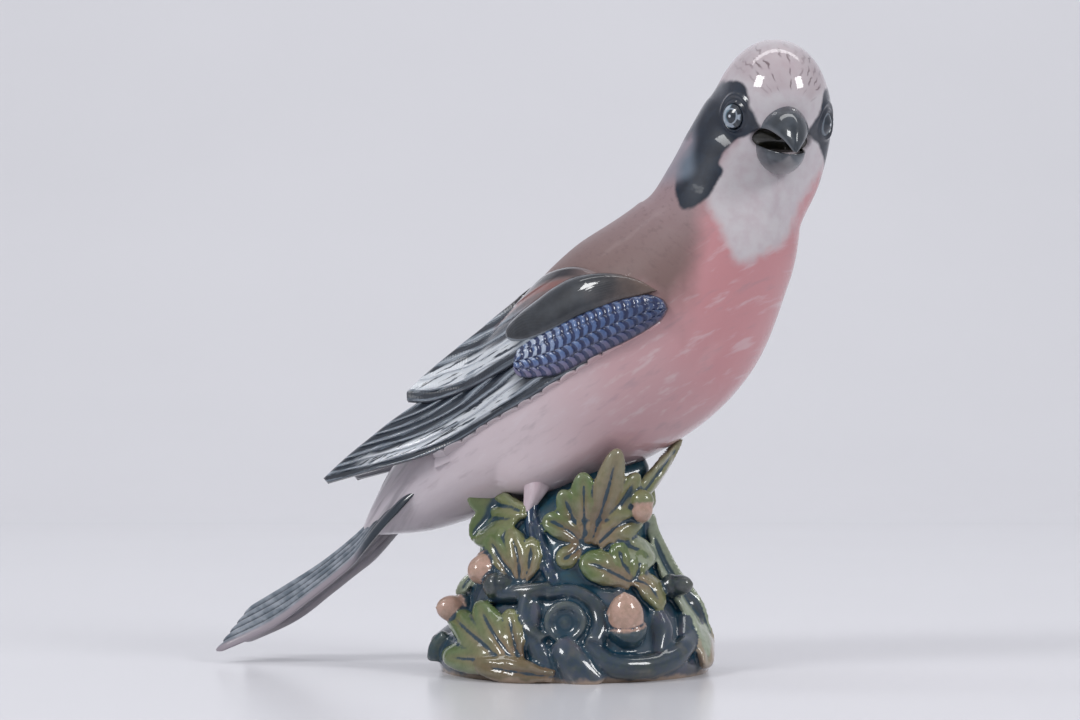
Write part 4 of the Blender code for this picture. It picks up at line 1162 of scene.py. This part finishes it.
def back_leaf_forms():
    """Two rows of plainer leaves round the back."""
    forms = []
    for index in range(5):
        angle = 112 + index * 34
        forms.append(leaf_form((angle - 14, 6.0), (angle + 16, 27.0), 9.0, (-0.2, 1.2, 0.8), 0, 2, 0.3))
        forms.append(leaf_form((angle, 30.0), (angle + 8, 62.0), 7.2, (1.0, 3.0, 3.5), 0, 2, 0.15))
    return forms


def in_front(x, z, lift):
    """A place on the front of the stump, given across and up, at a lift off its skin.

    With r the reach and d the distance across from the core's middle, it lies sqrt(r^2 - d^2)
    in front, and never less than 6 mm: past the core's edge a blade stands free.
    """
    radius, middle = stump_section(z)
    upper = smooth_step(z, 44.0, 52.0)
    radius = np.maximum(radius, LEAF_BED[0] * upper)
    middle = middle + (np.minimum(middle, LEAF_BED[1]) - middle) * upper
    return np.stack([x, -np.sqrt(np.maximum((radius + lift) ** 2 - (x - middle) ** 2, 36.0)), z], axis=-1)


def petal_form(path, half, lifts, root_colour, tip_colour, pointed=0.0):
    """One lobe of an oak leaf on the stump's front.

    Its midrib follows a path of (across, up). The half width is half (0.45 + 0.55 s(t)) with
    s a smooth step over the first half, closed by sqrt(1 - ((t - 0.6) / 0.4)^2) at the end; the
    blade is a cushion 1 - c^4 across, c from -1 to 1, with a groove exp(-(w / 0.8)^2) along it.
    """
    share = np.linspace(0.0, 1.0, 80)[:, None]
    columns = np.linspace(-1.0, 1.0, 33)
    middle = through(path, share[:, 0] * (len(path) - 1.0))
    heading = along_path(middle)
    sideways = np.stack([-heading[:, 1], heading[:, 0]], axis=-1)
    closing = np.sqrt(np.clip(1.0 - (np.clip(share - 0.6, 0.0, 1.0) / 0.4) ** 2, 0.0, 1.0))
    width = half * (0.45 + 0.55 * smooth_step(share, 0.0, 0.5)) * closing * (1.0 - pointed * share)
    width = np.maximum(width, 0.25)
    across = width * columns
    place = middle[:, None] + sideways[:, None] * across[..., None]
    cushion = 1.7 * (1.0 - columns**4) * np.minimum(width / 2.5, 1.0)
    groove = 1.25 * np.exp(-((across / 0.8) ** 2)) * smooth_step(share, 0.92, 0.66)
    veins = 0.28 * np.sin(2.0 * math.pi * (3.2 * share - 0.8 * np.abs(columns)))
    lift = np.interp(share, (0.0, 0.5, 1.0), lifts) + cushion - groove + veins * np.abs(columns)
    outer = in_front(place[..., 0], place[..., 1], lift)
    inwards = np.clip(-outer[..., 0] / 40.0, -1.0, 1.0)
    inner = outer + LEAF_THICKNESS * np.stack([0.6 * inwards, 1.0 + 0.0 * inwards, 0.0 * inwards], axis=-1)
    rootward = 1.15 - 1.5 * share + 0.45 * np.exp(-((across / 1.6) ** 2))
    return two_sided(outer, inner, tones(rootward, tip_colour, root_colour))


def front_leaf_forms():
    """The lobes that show, leaf by leaf: path, half width, lifts at root, middle and tip, colours."""
    lobes = (
        # High on the left, under the belly
        (((-16.5, 53.5), (-27.0, 55.5), (-36.0, 57.2)), 5.6, (1.0, 3.5, 5.0), OLIVE, GREEN, 0.2),
        (((-17.5, 54.5), (-27.0, 50.0), (-34.4, 43.0)), 6.4, (1.0, 3.0, 3.8), OLIVE, GREEN, 0.1),
        # Under it, three lobes on one stalk
        (((-18.7, 30.7), (-24.5, 38.0), (-29.0, 46.4)), 4.8, (0.5, 2.5, 3.2), TAN, GREEN, 0.0),
        (((-18.2, 30.7), (-19.0, 39.0), (-21.5, 48.2)), 4.0, (0.8, 2.8, 2.8), TAN, OLIVE, 0.0),
        (((-17.5, 30.7), (-15.0, 38.0), (-14.4, 45.4)), 3.4, (0.6, 2.2, 2.4), TAN, OLIVE, 0.0),
        (((-14.9, 54.9), (-12.0, 43.0), (-6.3, 29.0)), 2.7, (0.2, 0.8, 0.2), STRIP_BLUE, STRIP_BLUE, 0.0),
        # The big leaf in the middle, its lobes round a brown stalk
        (((1.9, 44.1), (-4.0, 48.8), (-11.0, 51.6)), 4.2, (0.8, 3.0, 3.0), BROWN, GREEN, 0.0),
        (((1.9, 43.2), (-2.0, 40.0), (-6.2, 37.4)), 3.3, (0.8, 2.4, 2.4), BROWN, OLIVE, 0.0),
        (((2.3, 45.2), (-1.5, 53.0), (-4.9, 61.0)), 3.8, (0.8, 2.8, 3.2), BROWN, GREEN, 0.0),
        (((2.8, 45.2), (2.6, 56.0), (2.3, 66.9)), 4.5, (1.0, 3.6, 3.6), TAN, GREEN, 0.0),
        (((8.2, 46.3), (14.5, 56.0), (20.6, 66.4)), 3.8, (1.0, 3.4, 5.0), TAN, OLIVE, 0.0),
        (((5.0, 43.6), (9.4, 58.0), (13.9, 74.6)), 4.7, (1.4, 4.6, 6.6), BROWN, "827A5E", 0.0),
        (((7.1, 43.4), (13.5, 49.0), (22.4, 52.4)), 5.6, (1.2, 4.2, 4.6), TAN, OLIVE, 0.0),
        (((18.6, 55.4), (26.8, 65.4), (35.9, 76.9)), 4.0, (1.5, 4.0, 8.0), OLIVE, "8B8468", 0.6),
        (((11.0, 44.6), (19.0, 41.8), (26.4, 36.4)), 4.2, (0.6, 3.0, 3.0), OLIVE, PALE, 0.0),
        # The leaf below it, on the right
        (((18.3, 30.7), (9.5, 35.5), (1.3, 38.4)), 5.2, (0.8, 3.6, 3.4), TAN, GREEN, 0.0),
        (((17.3, 32.3), (15.0, 38.0), (13.3, 43.8)), 4.0, (0.8, 3.0, 3.2), OLIVE, GREEN, 0.0),
        (((19.5, 31.0), (20.8, 36.0), (21.6, 41.4)), 3.6, (0.8, 3.0, 3.0), OLIVE, GREEN, 0.0),
        (((18.0, 32.0), (24.0, 29.5), (28.6, 22.4)), 3.6, (0.8, 3.2, 2.6), TAN, OLIVE, 0.0),
        # The long leaf down the right edge
        (
            ((25.0, 52.0), (27.2, 43.0), (32.4, 31.2), (37.6, 24.0), (41.2, 17.6), (44.6, 3.0)),
            3.8, (1.0, 2.4, 1.6), PALE, PALE, 0.0,
        ),
        (((40.0, 20.0), (42.6, 12.0), (43.6, 2.0)), 3.6, (0.6, 1.6, 1.6), PALE, FOOT_TAN, 0.0),
        # Low on the left, over the foot
        (((-18.7, 5.4), (-31.0, 12.4), (-43.4, 21.2)), 5.0, (0.8, 3.2, 2.6), TAN, GREEN, 0.0),
        (((-19.8, 6.5), (-26.5, 15.0), (-32.4, 24.6)), 4.8, (1.0, 4.0, 3.6), TAN, GREEN, 0.0),
        (((-18.4, 7.6), (-20.5, 15.0), (-21.8, 23.0)), 3.6, (0.8, 3.2, 2.8), BROWN, OLIVE, 0.0),
        (((-19.8, 4.4), (-32.0, 6.6), (-44.2, 6.2)), 4.8, (1.0, 3.0, 1.8), TAN, GREEN, 0.0),
        (((-7.5, 2.2), (-20.0, 3.8), (-33.4, 5.4)), 4.4, (0.8, 3.4, 3.8), BROWN, "6F6243", 0.0),
        (((-33.4, 33.0), (-36.6, 29.0), (-39.4, 24.6)), 2.0, (1.0, 2.0, 1.0), PALE, PALE, 0.0),
    )
    return [petal_form(*lobe) for lobe in lobes]


def spun(profile, rows, columns, direction, place):
    """Rings of a smooth profile (radius, height) spun about a direction through a place."""
    radius, height = through(profile, np.linspace(0.0, len(profile) - 1.0, rows)).T[..., None]
    turn = full_turn(columns)
    height = height + 0 * turn
    ring = np.stack([radius * np.cos(turn), radius * np.sin(turn), height], axis=-1)
    lie = np.array(Vector(direction).to_track_quat("Z", "Y").to_matrix())
    return place + ring @ lie.T, height


def acorn_form(place, direction, size, cup_colour):
    """An acorn in its cup: a profile of radius against height, spun about the direction to its tip."""
    profile = (
        (0.02, -0.36), (0.62, -0.31), (1.06, -0.17), (1.20, 0.0), (1.16, 0.055), (1.0, 0.065),
        (1.03, 0.20), (0.94, 0.38), (0.62, 0.54), (0.22, 0.62), (0.02, 0.68),
    )
    length = ACORN_LENGTH * size
    rings, height = spun(np.array(profile) * (ACORN_RADIUS * size, length), 60, 48, direction, place)
    return rings, tones(smooth_step(-height, -0.062 * length, -0.045 * length), NUT_PINK, cup_colour)


def twig_form(stations, radii, shade, bumps=0.0):
    """A round branch of changing radius along a smooth path, with slow bumps along it."""
    rings, places, turn = branch(stations, radii, 26 * len(stations), 32, bumps)
    return rings, tones(0.5 + 0.5 * np.sin(2.2 * places + turn), shade, ROOT_GREY)


def front_twig(route, lift, radii, shade, bumps=0.06):
    """A branch that follows a route of (across, up) over the stump's front."""
    return twig_form(in_front(*np.array(route).T, lift), radii, shade, bumps)


def knob_form():
    """The sawn end of a branch: a turned rim round a dished face, laid on an axis towards the front."""
    r, out = KNOB_RADIUS, KNOB_REACH
    profile = (
        (0.02, -6.0), (0.9 * r, -6.0), (r, -2.0), (r, out - 2.0), (0.96 * r, out - 0.8), (0.85 * r, out),
        (0.70 * r, out - 0.3), (0.56 * r, out - 1.2), (0.42 * r, out - 1.8), (0.25 * r, out - 1.6),
        (0.1 * r, out - 1.2), (0.02, out - 1.1),
    )
    rings, height = spun(profile, 80, 60, (-0.08, -1.0, 0.12), on_stump(-4.4, 18.6, -2.0))
    return rings, tones(0.5 + 0 * height, "1E3A48", ROOT_GREY)


def stump_forms():
    """Every form of the foot, each as rings and the colours brushed on it."""
    forms = [core_form(), *front_leaf_forms(), *back_leaf_forms(), knob_form()]
    acorns = (
        (23.0, 17.0, 2.2, (-0.06, -0.25, 1.0), 1.10),
        (-57.8, 35.5, 1.0, (-0.55, -0.80, -0.25), 0.92),
        (-73.1, 21.0, 2.0, (-0.85, -0.5, 0.1), 0.82),
        (40.3, 57.0, 6.15, (0.05, -0.1, -1.0), 0.66),
        (167.5, 18.0, 0.0, (0.1, 0.4, 1.0), 0.95),
    )
    for angle, height, lift, direction, size in acorns:
        place = on_stump(angle, height, lift, bed=height > 50.0)
        cup_colour = OLIVE if height > 50.0 else CUP_TEAL
        forms.append(acorn_form(place, direction, size, cup_colour))
    for place, size in ((on_stump(64.3, 29.0, 4.8), 0.66), (in_front(-26.0, 29.6, 2.2), 0.72)):
        dark = acorn_form(place, (1.0, -0.3, 0.1), size, CUP_TEAL)[0]
        forms.append((dark, tones(np.ones(dark.shape[:2]), ROOT_GREY, "1F2C38")))

    twigs = (
        (((-27.0, 26.4), (-20.0, 27.4), (-13.3, 28.2), (-8.0, 29.4)), 0.6, (2.6, 2.8, 2.8, 2.4)),
        (
            ((-9.5, 28.6), (-15.0, 26.6), (-16.4, 20.6), (-14.6, 15.8), (-10.6, 13.0)),
            0.4, (2.4, 2.7, 2.9, 2.8, 2.4),
        ),
        (((-9.5, 28.0), (-1.0, 28.0), (5.4, 23.8), (7.6, 18.0), (5.6, 12.4)), 0.8, (2.2, 2.8, 3.2, 3.2, 3.0)),
        (
            ((3.6, 12.8), (9.6, 6.6), (17.0, 4.6), (25.0, 5.2), (34.0, 9.0), (39.0, 15.6), (37.6, 22.0),
             (32.0, 26.6)),
            -0.6, (2.8, 3.6, 4.0, 4.0, 3.8, 3.6, 3.2, 2.6),
        ),
    )
    forms += [front_twig(route, lift, radii, "22303E") for route, lift, radii in twigs]
    folds = (
        (((-4.6, 12.0), (-1.4, 6.6), (4.6, -1.5)), -3.4, (5.0, 6.0, 7.0)),
        (((25.2, 22.0), (27.2, 15.0), (25.6, 7.6)), -1.6, (3.0, 4.6, 3.0)),
        (((32.6, 23.0), (34.8, 17.0), (34.0, 10.6)), -2.2, (3.0, 4.4, 3.0)),
        (((-13.8, 25.0), (-13.4, 14.0), (-8.0, 1.0)), -1.2, (2.6, 3.4, 3.0)),
        (((14.0, 30.0), (11.0, 20.0), (12.0, 9.0)), -2.6, (3.0, 3.6, 3.0)),
    )
    forms += [front_twig(route, lift, radii, ROOT_VIOLET) for route, lift, radii in folds]
    left = ((-76.9, 12.5, 1.0), (-78.9, 8.5, 1.8), (-79.0, 3.6, 1.0))
    forms.append(twig_form([on_stump(*place) for place in left], (2.4, 3.0, 3.4), "173C45"))
    back = ((100, 12, 1.0), (135, 26, 1.0), (170, 20, 1.0), (205, 30, 1.0), (240, 14, 1.0), (265, 8, 1.0))
    forms.append(twig_form([on_stump(*place) for place in back], [TWIG_RADIUS] * len(back), "22394A", 0.06))
    return forms


def fuse(name, forms):
    """One casting: the forms as one voxel shell, smoothed, cut flat at the table, its colours carried over.

    Each vertex of the shell takes the colour of the nearest place on the forms.
    """
    points, faces, colours = [], [], []
    count = 0
    for rings, wash in forms:
        own, quads, ends = grid_faces(rings)
        points.append(own)
        faces += (quads + count).tolist() + (ends + count).tolist()
        colours.append(np.vstack([wash.reshape(-1, 3), wash[0].mean(axis=0), wash[-1].mean(axis=0)]))
        count += len(own)
    mesh = bpy.data.meshes.new(name + "_forms")
    mesh.from_pydata((np.vstack(points) * MM).tolist(), [], faces)
    colours = np.concatenate([np.vstack(colours), np.ones((count, 1))], axis=1).ravel().astype(np.float32)
    mesh.color_attributes.new("wash", "FLOAT_COLOR", "POINT").data.foreach_set("color", colours)
    source = in_scene(name + "_forms", mesh)
    shell = in_scene(name, mesh.copy())
    remesh = shell.modifiers.new("Fuse", "REMESH")
    remesh.mode = "VOXEL"
    remesh.voxel_size = FUSE_STEP * MM
    soften = shell.modifiers.new("Soften", "SMOOTH")
    soften.factor = 0.5
    soften.iterations = 3
    shell.data = applied(shell)
    cut_flat(shell.data)
    shell.data.color_attributes.new("wash", "FLOAT_COLOR", "POINT")
    carry = shell.modifiers.new("Carry", "DATA_TRANSFER")
    carry.object = source
    carry.use_vert_data = True
    carry.data_types_verts = {"COLOR_VERTEX"}
    carry.vert_mapping = "POLYINTERP_NEAREST"
    shell.data = applied(shell)
    bpy.data.objects.remove(source, do_unlink=True)
    shell.data.shade_smooth()
    return shell


def applied(piece):
    """The piece's mesh with its modifiers applied, which are then gone."""
    bpy.context.view_layer.update()
    mesh = bpy.data.meshes.new_from_object(piece.evaluated_get(bpy.context.evaluated_depsgraph_get()))
    piece.modifiers.clear()
    return mesh


def cut_flat(mesh):
    """Cuts the mesh at the table's height and closes the cut."""
    built = bmesh.new()
    built.from_mesh(mesh)
    everything = built.verts[:] + built.edges[:] + built.faces[:]
    table = {"plane_co": (0.0, 0.0, 0.0), "plane_no": (0.0, 0.0, 1.0)}
    cut = bmesh.ops.bisect_plane(built, geom=everything, dist=0.0000005, clear_inner=True, **table)
    rim = [item for item in cut["geom_cut"] if isinstance(item, bmesh.types.BMEdge)]
    bmesh.ops.holes_fill(built, edges=rim, sides=0)
    built.to_mesh(mesh)
    built.free()


def hollowness(mesh, rounds):
    """How far each vertex lies below its surroundings, in millimetres: the average of its neighbours'
    places, averaged again in rounds, less its own place, along its normal."""
    place = np.empty(len(mesh.vertices) * 3, np.float32)
    mesh.vertices.foreach_get("co", place)
    place = place.reshape(-1, 3).astype(float) / MM
    ends = np.empty(len(mesh.edges) * 2, np.int32)
    mesh.edges.foreach_get("vertices", ends)
    a, b = ends.reshape(-1, 2).T
    normal = np.empty(len(place) * 3, np.float32)
    mesh.vertex_normals.foreach_get("vector", normal)
    count = len(place)
    degree = np.maximum(np.bincount(ends, minlength=count), 1)
    level = place
    for _ in range(rounds):
        sums = [np.bincount(a, level[b, i], count) + np.bincount(b, level[a, i], count) for i in range(3)]
        level = np.stack(sums, axis=-1) / degree[:, None]
    return ((level - place) * normal.reshape(-1, 3)).sum(-1)


def make_stump():
    """The fused foot, with how hollow each place is, near and wide."""
    stump = fuse("oak_stump", stump_forms())
    for key, rounds in (("hollow_near", 6), ("hollow_wide", 40)):
        keep_numbers(stump.data, key, hollowness(stump.data, rounds))
    return stump


def paint_stump(tree):
    """Washes of green, tan and violet-grey; blue-green glaze in the hollows, thin pale glaze on the rims."""
    place = object_place(tree)
    cloud, mottle = blotches(tree, place, 7.0, 3.0), blotches(tree, place, 2.0, 3.0, 0.6)
    height = Amount(tree, node(tree, "ShaderNodeSeparateXYZ", {0: place})[2])
    wash = node(tree, "ShaderNodeAttribute", attribute_name="wash")["Color"]
    colour = laid(wash, mottle.step(0.35, 0.75, 0.0, 0.30), "43512F")
    colour = laid(colour, cloud.step(0.50, 0.85, 0.0, 0.30), "857B60")
    near = kept(tree, "hollow_near") + (mottle * 0.10 - 0.05)
    wide = kept(tree, "hollow_wide") + (cloud * 0.6 - 0.3)
    colour = laid(colour, wide.step(0.10, 0.9, 0.0, 0.85), GLAZE_TEAL)
    colour = laid(colour, near.step(0.03, 0.17, 0.0, 0.92), DEEP_TEAL)
    colour = laid(colour, near.step(-0.10, -0.30, 0.0, 0.16), "9A9C92")
    foot = height + (cloud * 0.006 - 0.003)
    return glazed(tree, laid(colour, foot.step(0.0022, 0.0004, 0.0, 0.75), FOOT_TAN), 1.0, 0.75)


show(make_stump(), material("stump_glaze", paint_stump))


# Studio
# A pale seamless table and wall, one wide soft light on each side of the camera and light all round.

CAMERA_PLACE = (-11.7, -1000.0, 103.2)
CAMERA_LENS = 99.8


def paint_table(tree):
    """White laminate with a slight sheen: it shows a faint mirror image of the foot."""
    colour = laid("DBDBE0", blotches(tree, object_place(tree), 180.0), "DFDFE4")
    inputs = {"Base Color": colour, "Roughness": 0.22, "Specular IOR Level": 0.35}
    return node(tree, "ShaderNodeBsdfPrincipled", inputs)[0]


def make_backdrop():
    """Table and wall in one sheet: flat, then a quarter circle of one metre, then upright."""
    turn = np.linspace(0.0, math.pi / 2, 24)
    depth = np.concatenate([[-2500.0, 900.0], 900.0 + 1000.0 * np.sin(turn), [1900.0]])
    height = np.concatenate([[0.0, 0.0], 1000.0 - 1000.0 * np.cos(turn), [4000.0]])
    points = [(x * MM, y * MM, z * MM) for y, z in zip(depth, height) for x in (-3500.0, 3500.0)]
    mesh = bpy.data.meshes.new("backdrop")
    mesh.from_pydata(points, [], [(i, i + 1, i + 3, i + 2) for i in range(0, len(points) - 2, 2)])
    mesh.shade_smooth()
    mesh.materials.append(material("white_laminate", paint_table))
    in_scene("backdrop", mesh)


def make_light(name, place, aim, width, height, power):
    """A rectangular soft light at a place in millimetres, turned to what it lights."""
    lamp = bpy.data.lights.new(name, "AREA")
    lamp.shape = "RECTANGLE"
    lamp.size, lamp.size_y = width * MM, height * MM
    lamp.energy = power
    holder = in_scene(name, lamp)
    holder.location = Vector(place) * MM
    holder.rotation_euler = (Vector(aim) - Vector(place)).to_track_quat("-Z", "Y").to_euler()


make_backdrop()
make_light("light_left", (-1100.0, -814.0, 1100.0), (30.0, 0.0, 120.0), 500.0, 500.0, 12.8)
make_light("light_right", (1190.0, -740.0, 950.0), (30.0, 0.0, 120.0), 460.0, 460.0, 9.8)
make_light("light_wall", (0.0, 420.0, 1900.0), (0.0, 1900.0, 250.0), 2600.0, 500.0, 15.5)

world = bpy.data.worlds.new("soft_room")
world.use_nodes = True
background = world.node_tree.nodes["Background"].inputs
background["Color"].default_value = linear("E7E8EE")
background["Strength"].default_value = 0.49
bpy.context.scene.world = world
bpy.context.scene.view_settings.view_transform = "Standard"

camera = bpy.data.cameras.new("camera")
camera.lens = CAMERA_LENS
camera.sensor_width = 36.0
camera.clip_end = 20.0
holder = in_scene("camera", camera)
holder.location = Vector(CAMERA_PLACE) * MM
holder.rotation_euler = (math.radians(90.0), 0.0, 0.0)
bpy.context.scene.camera = holder
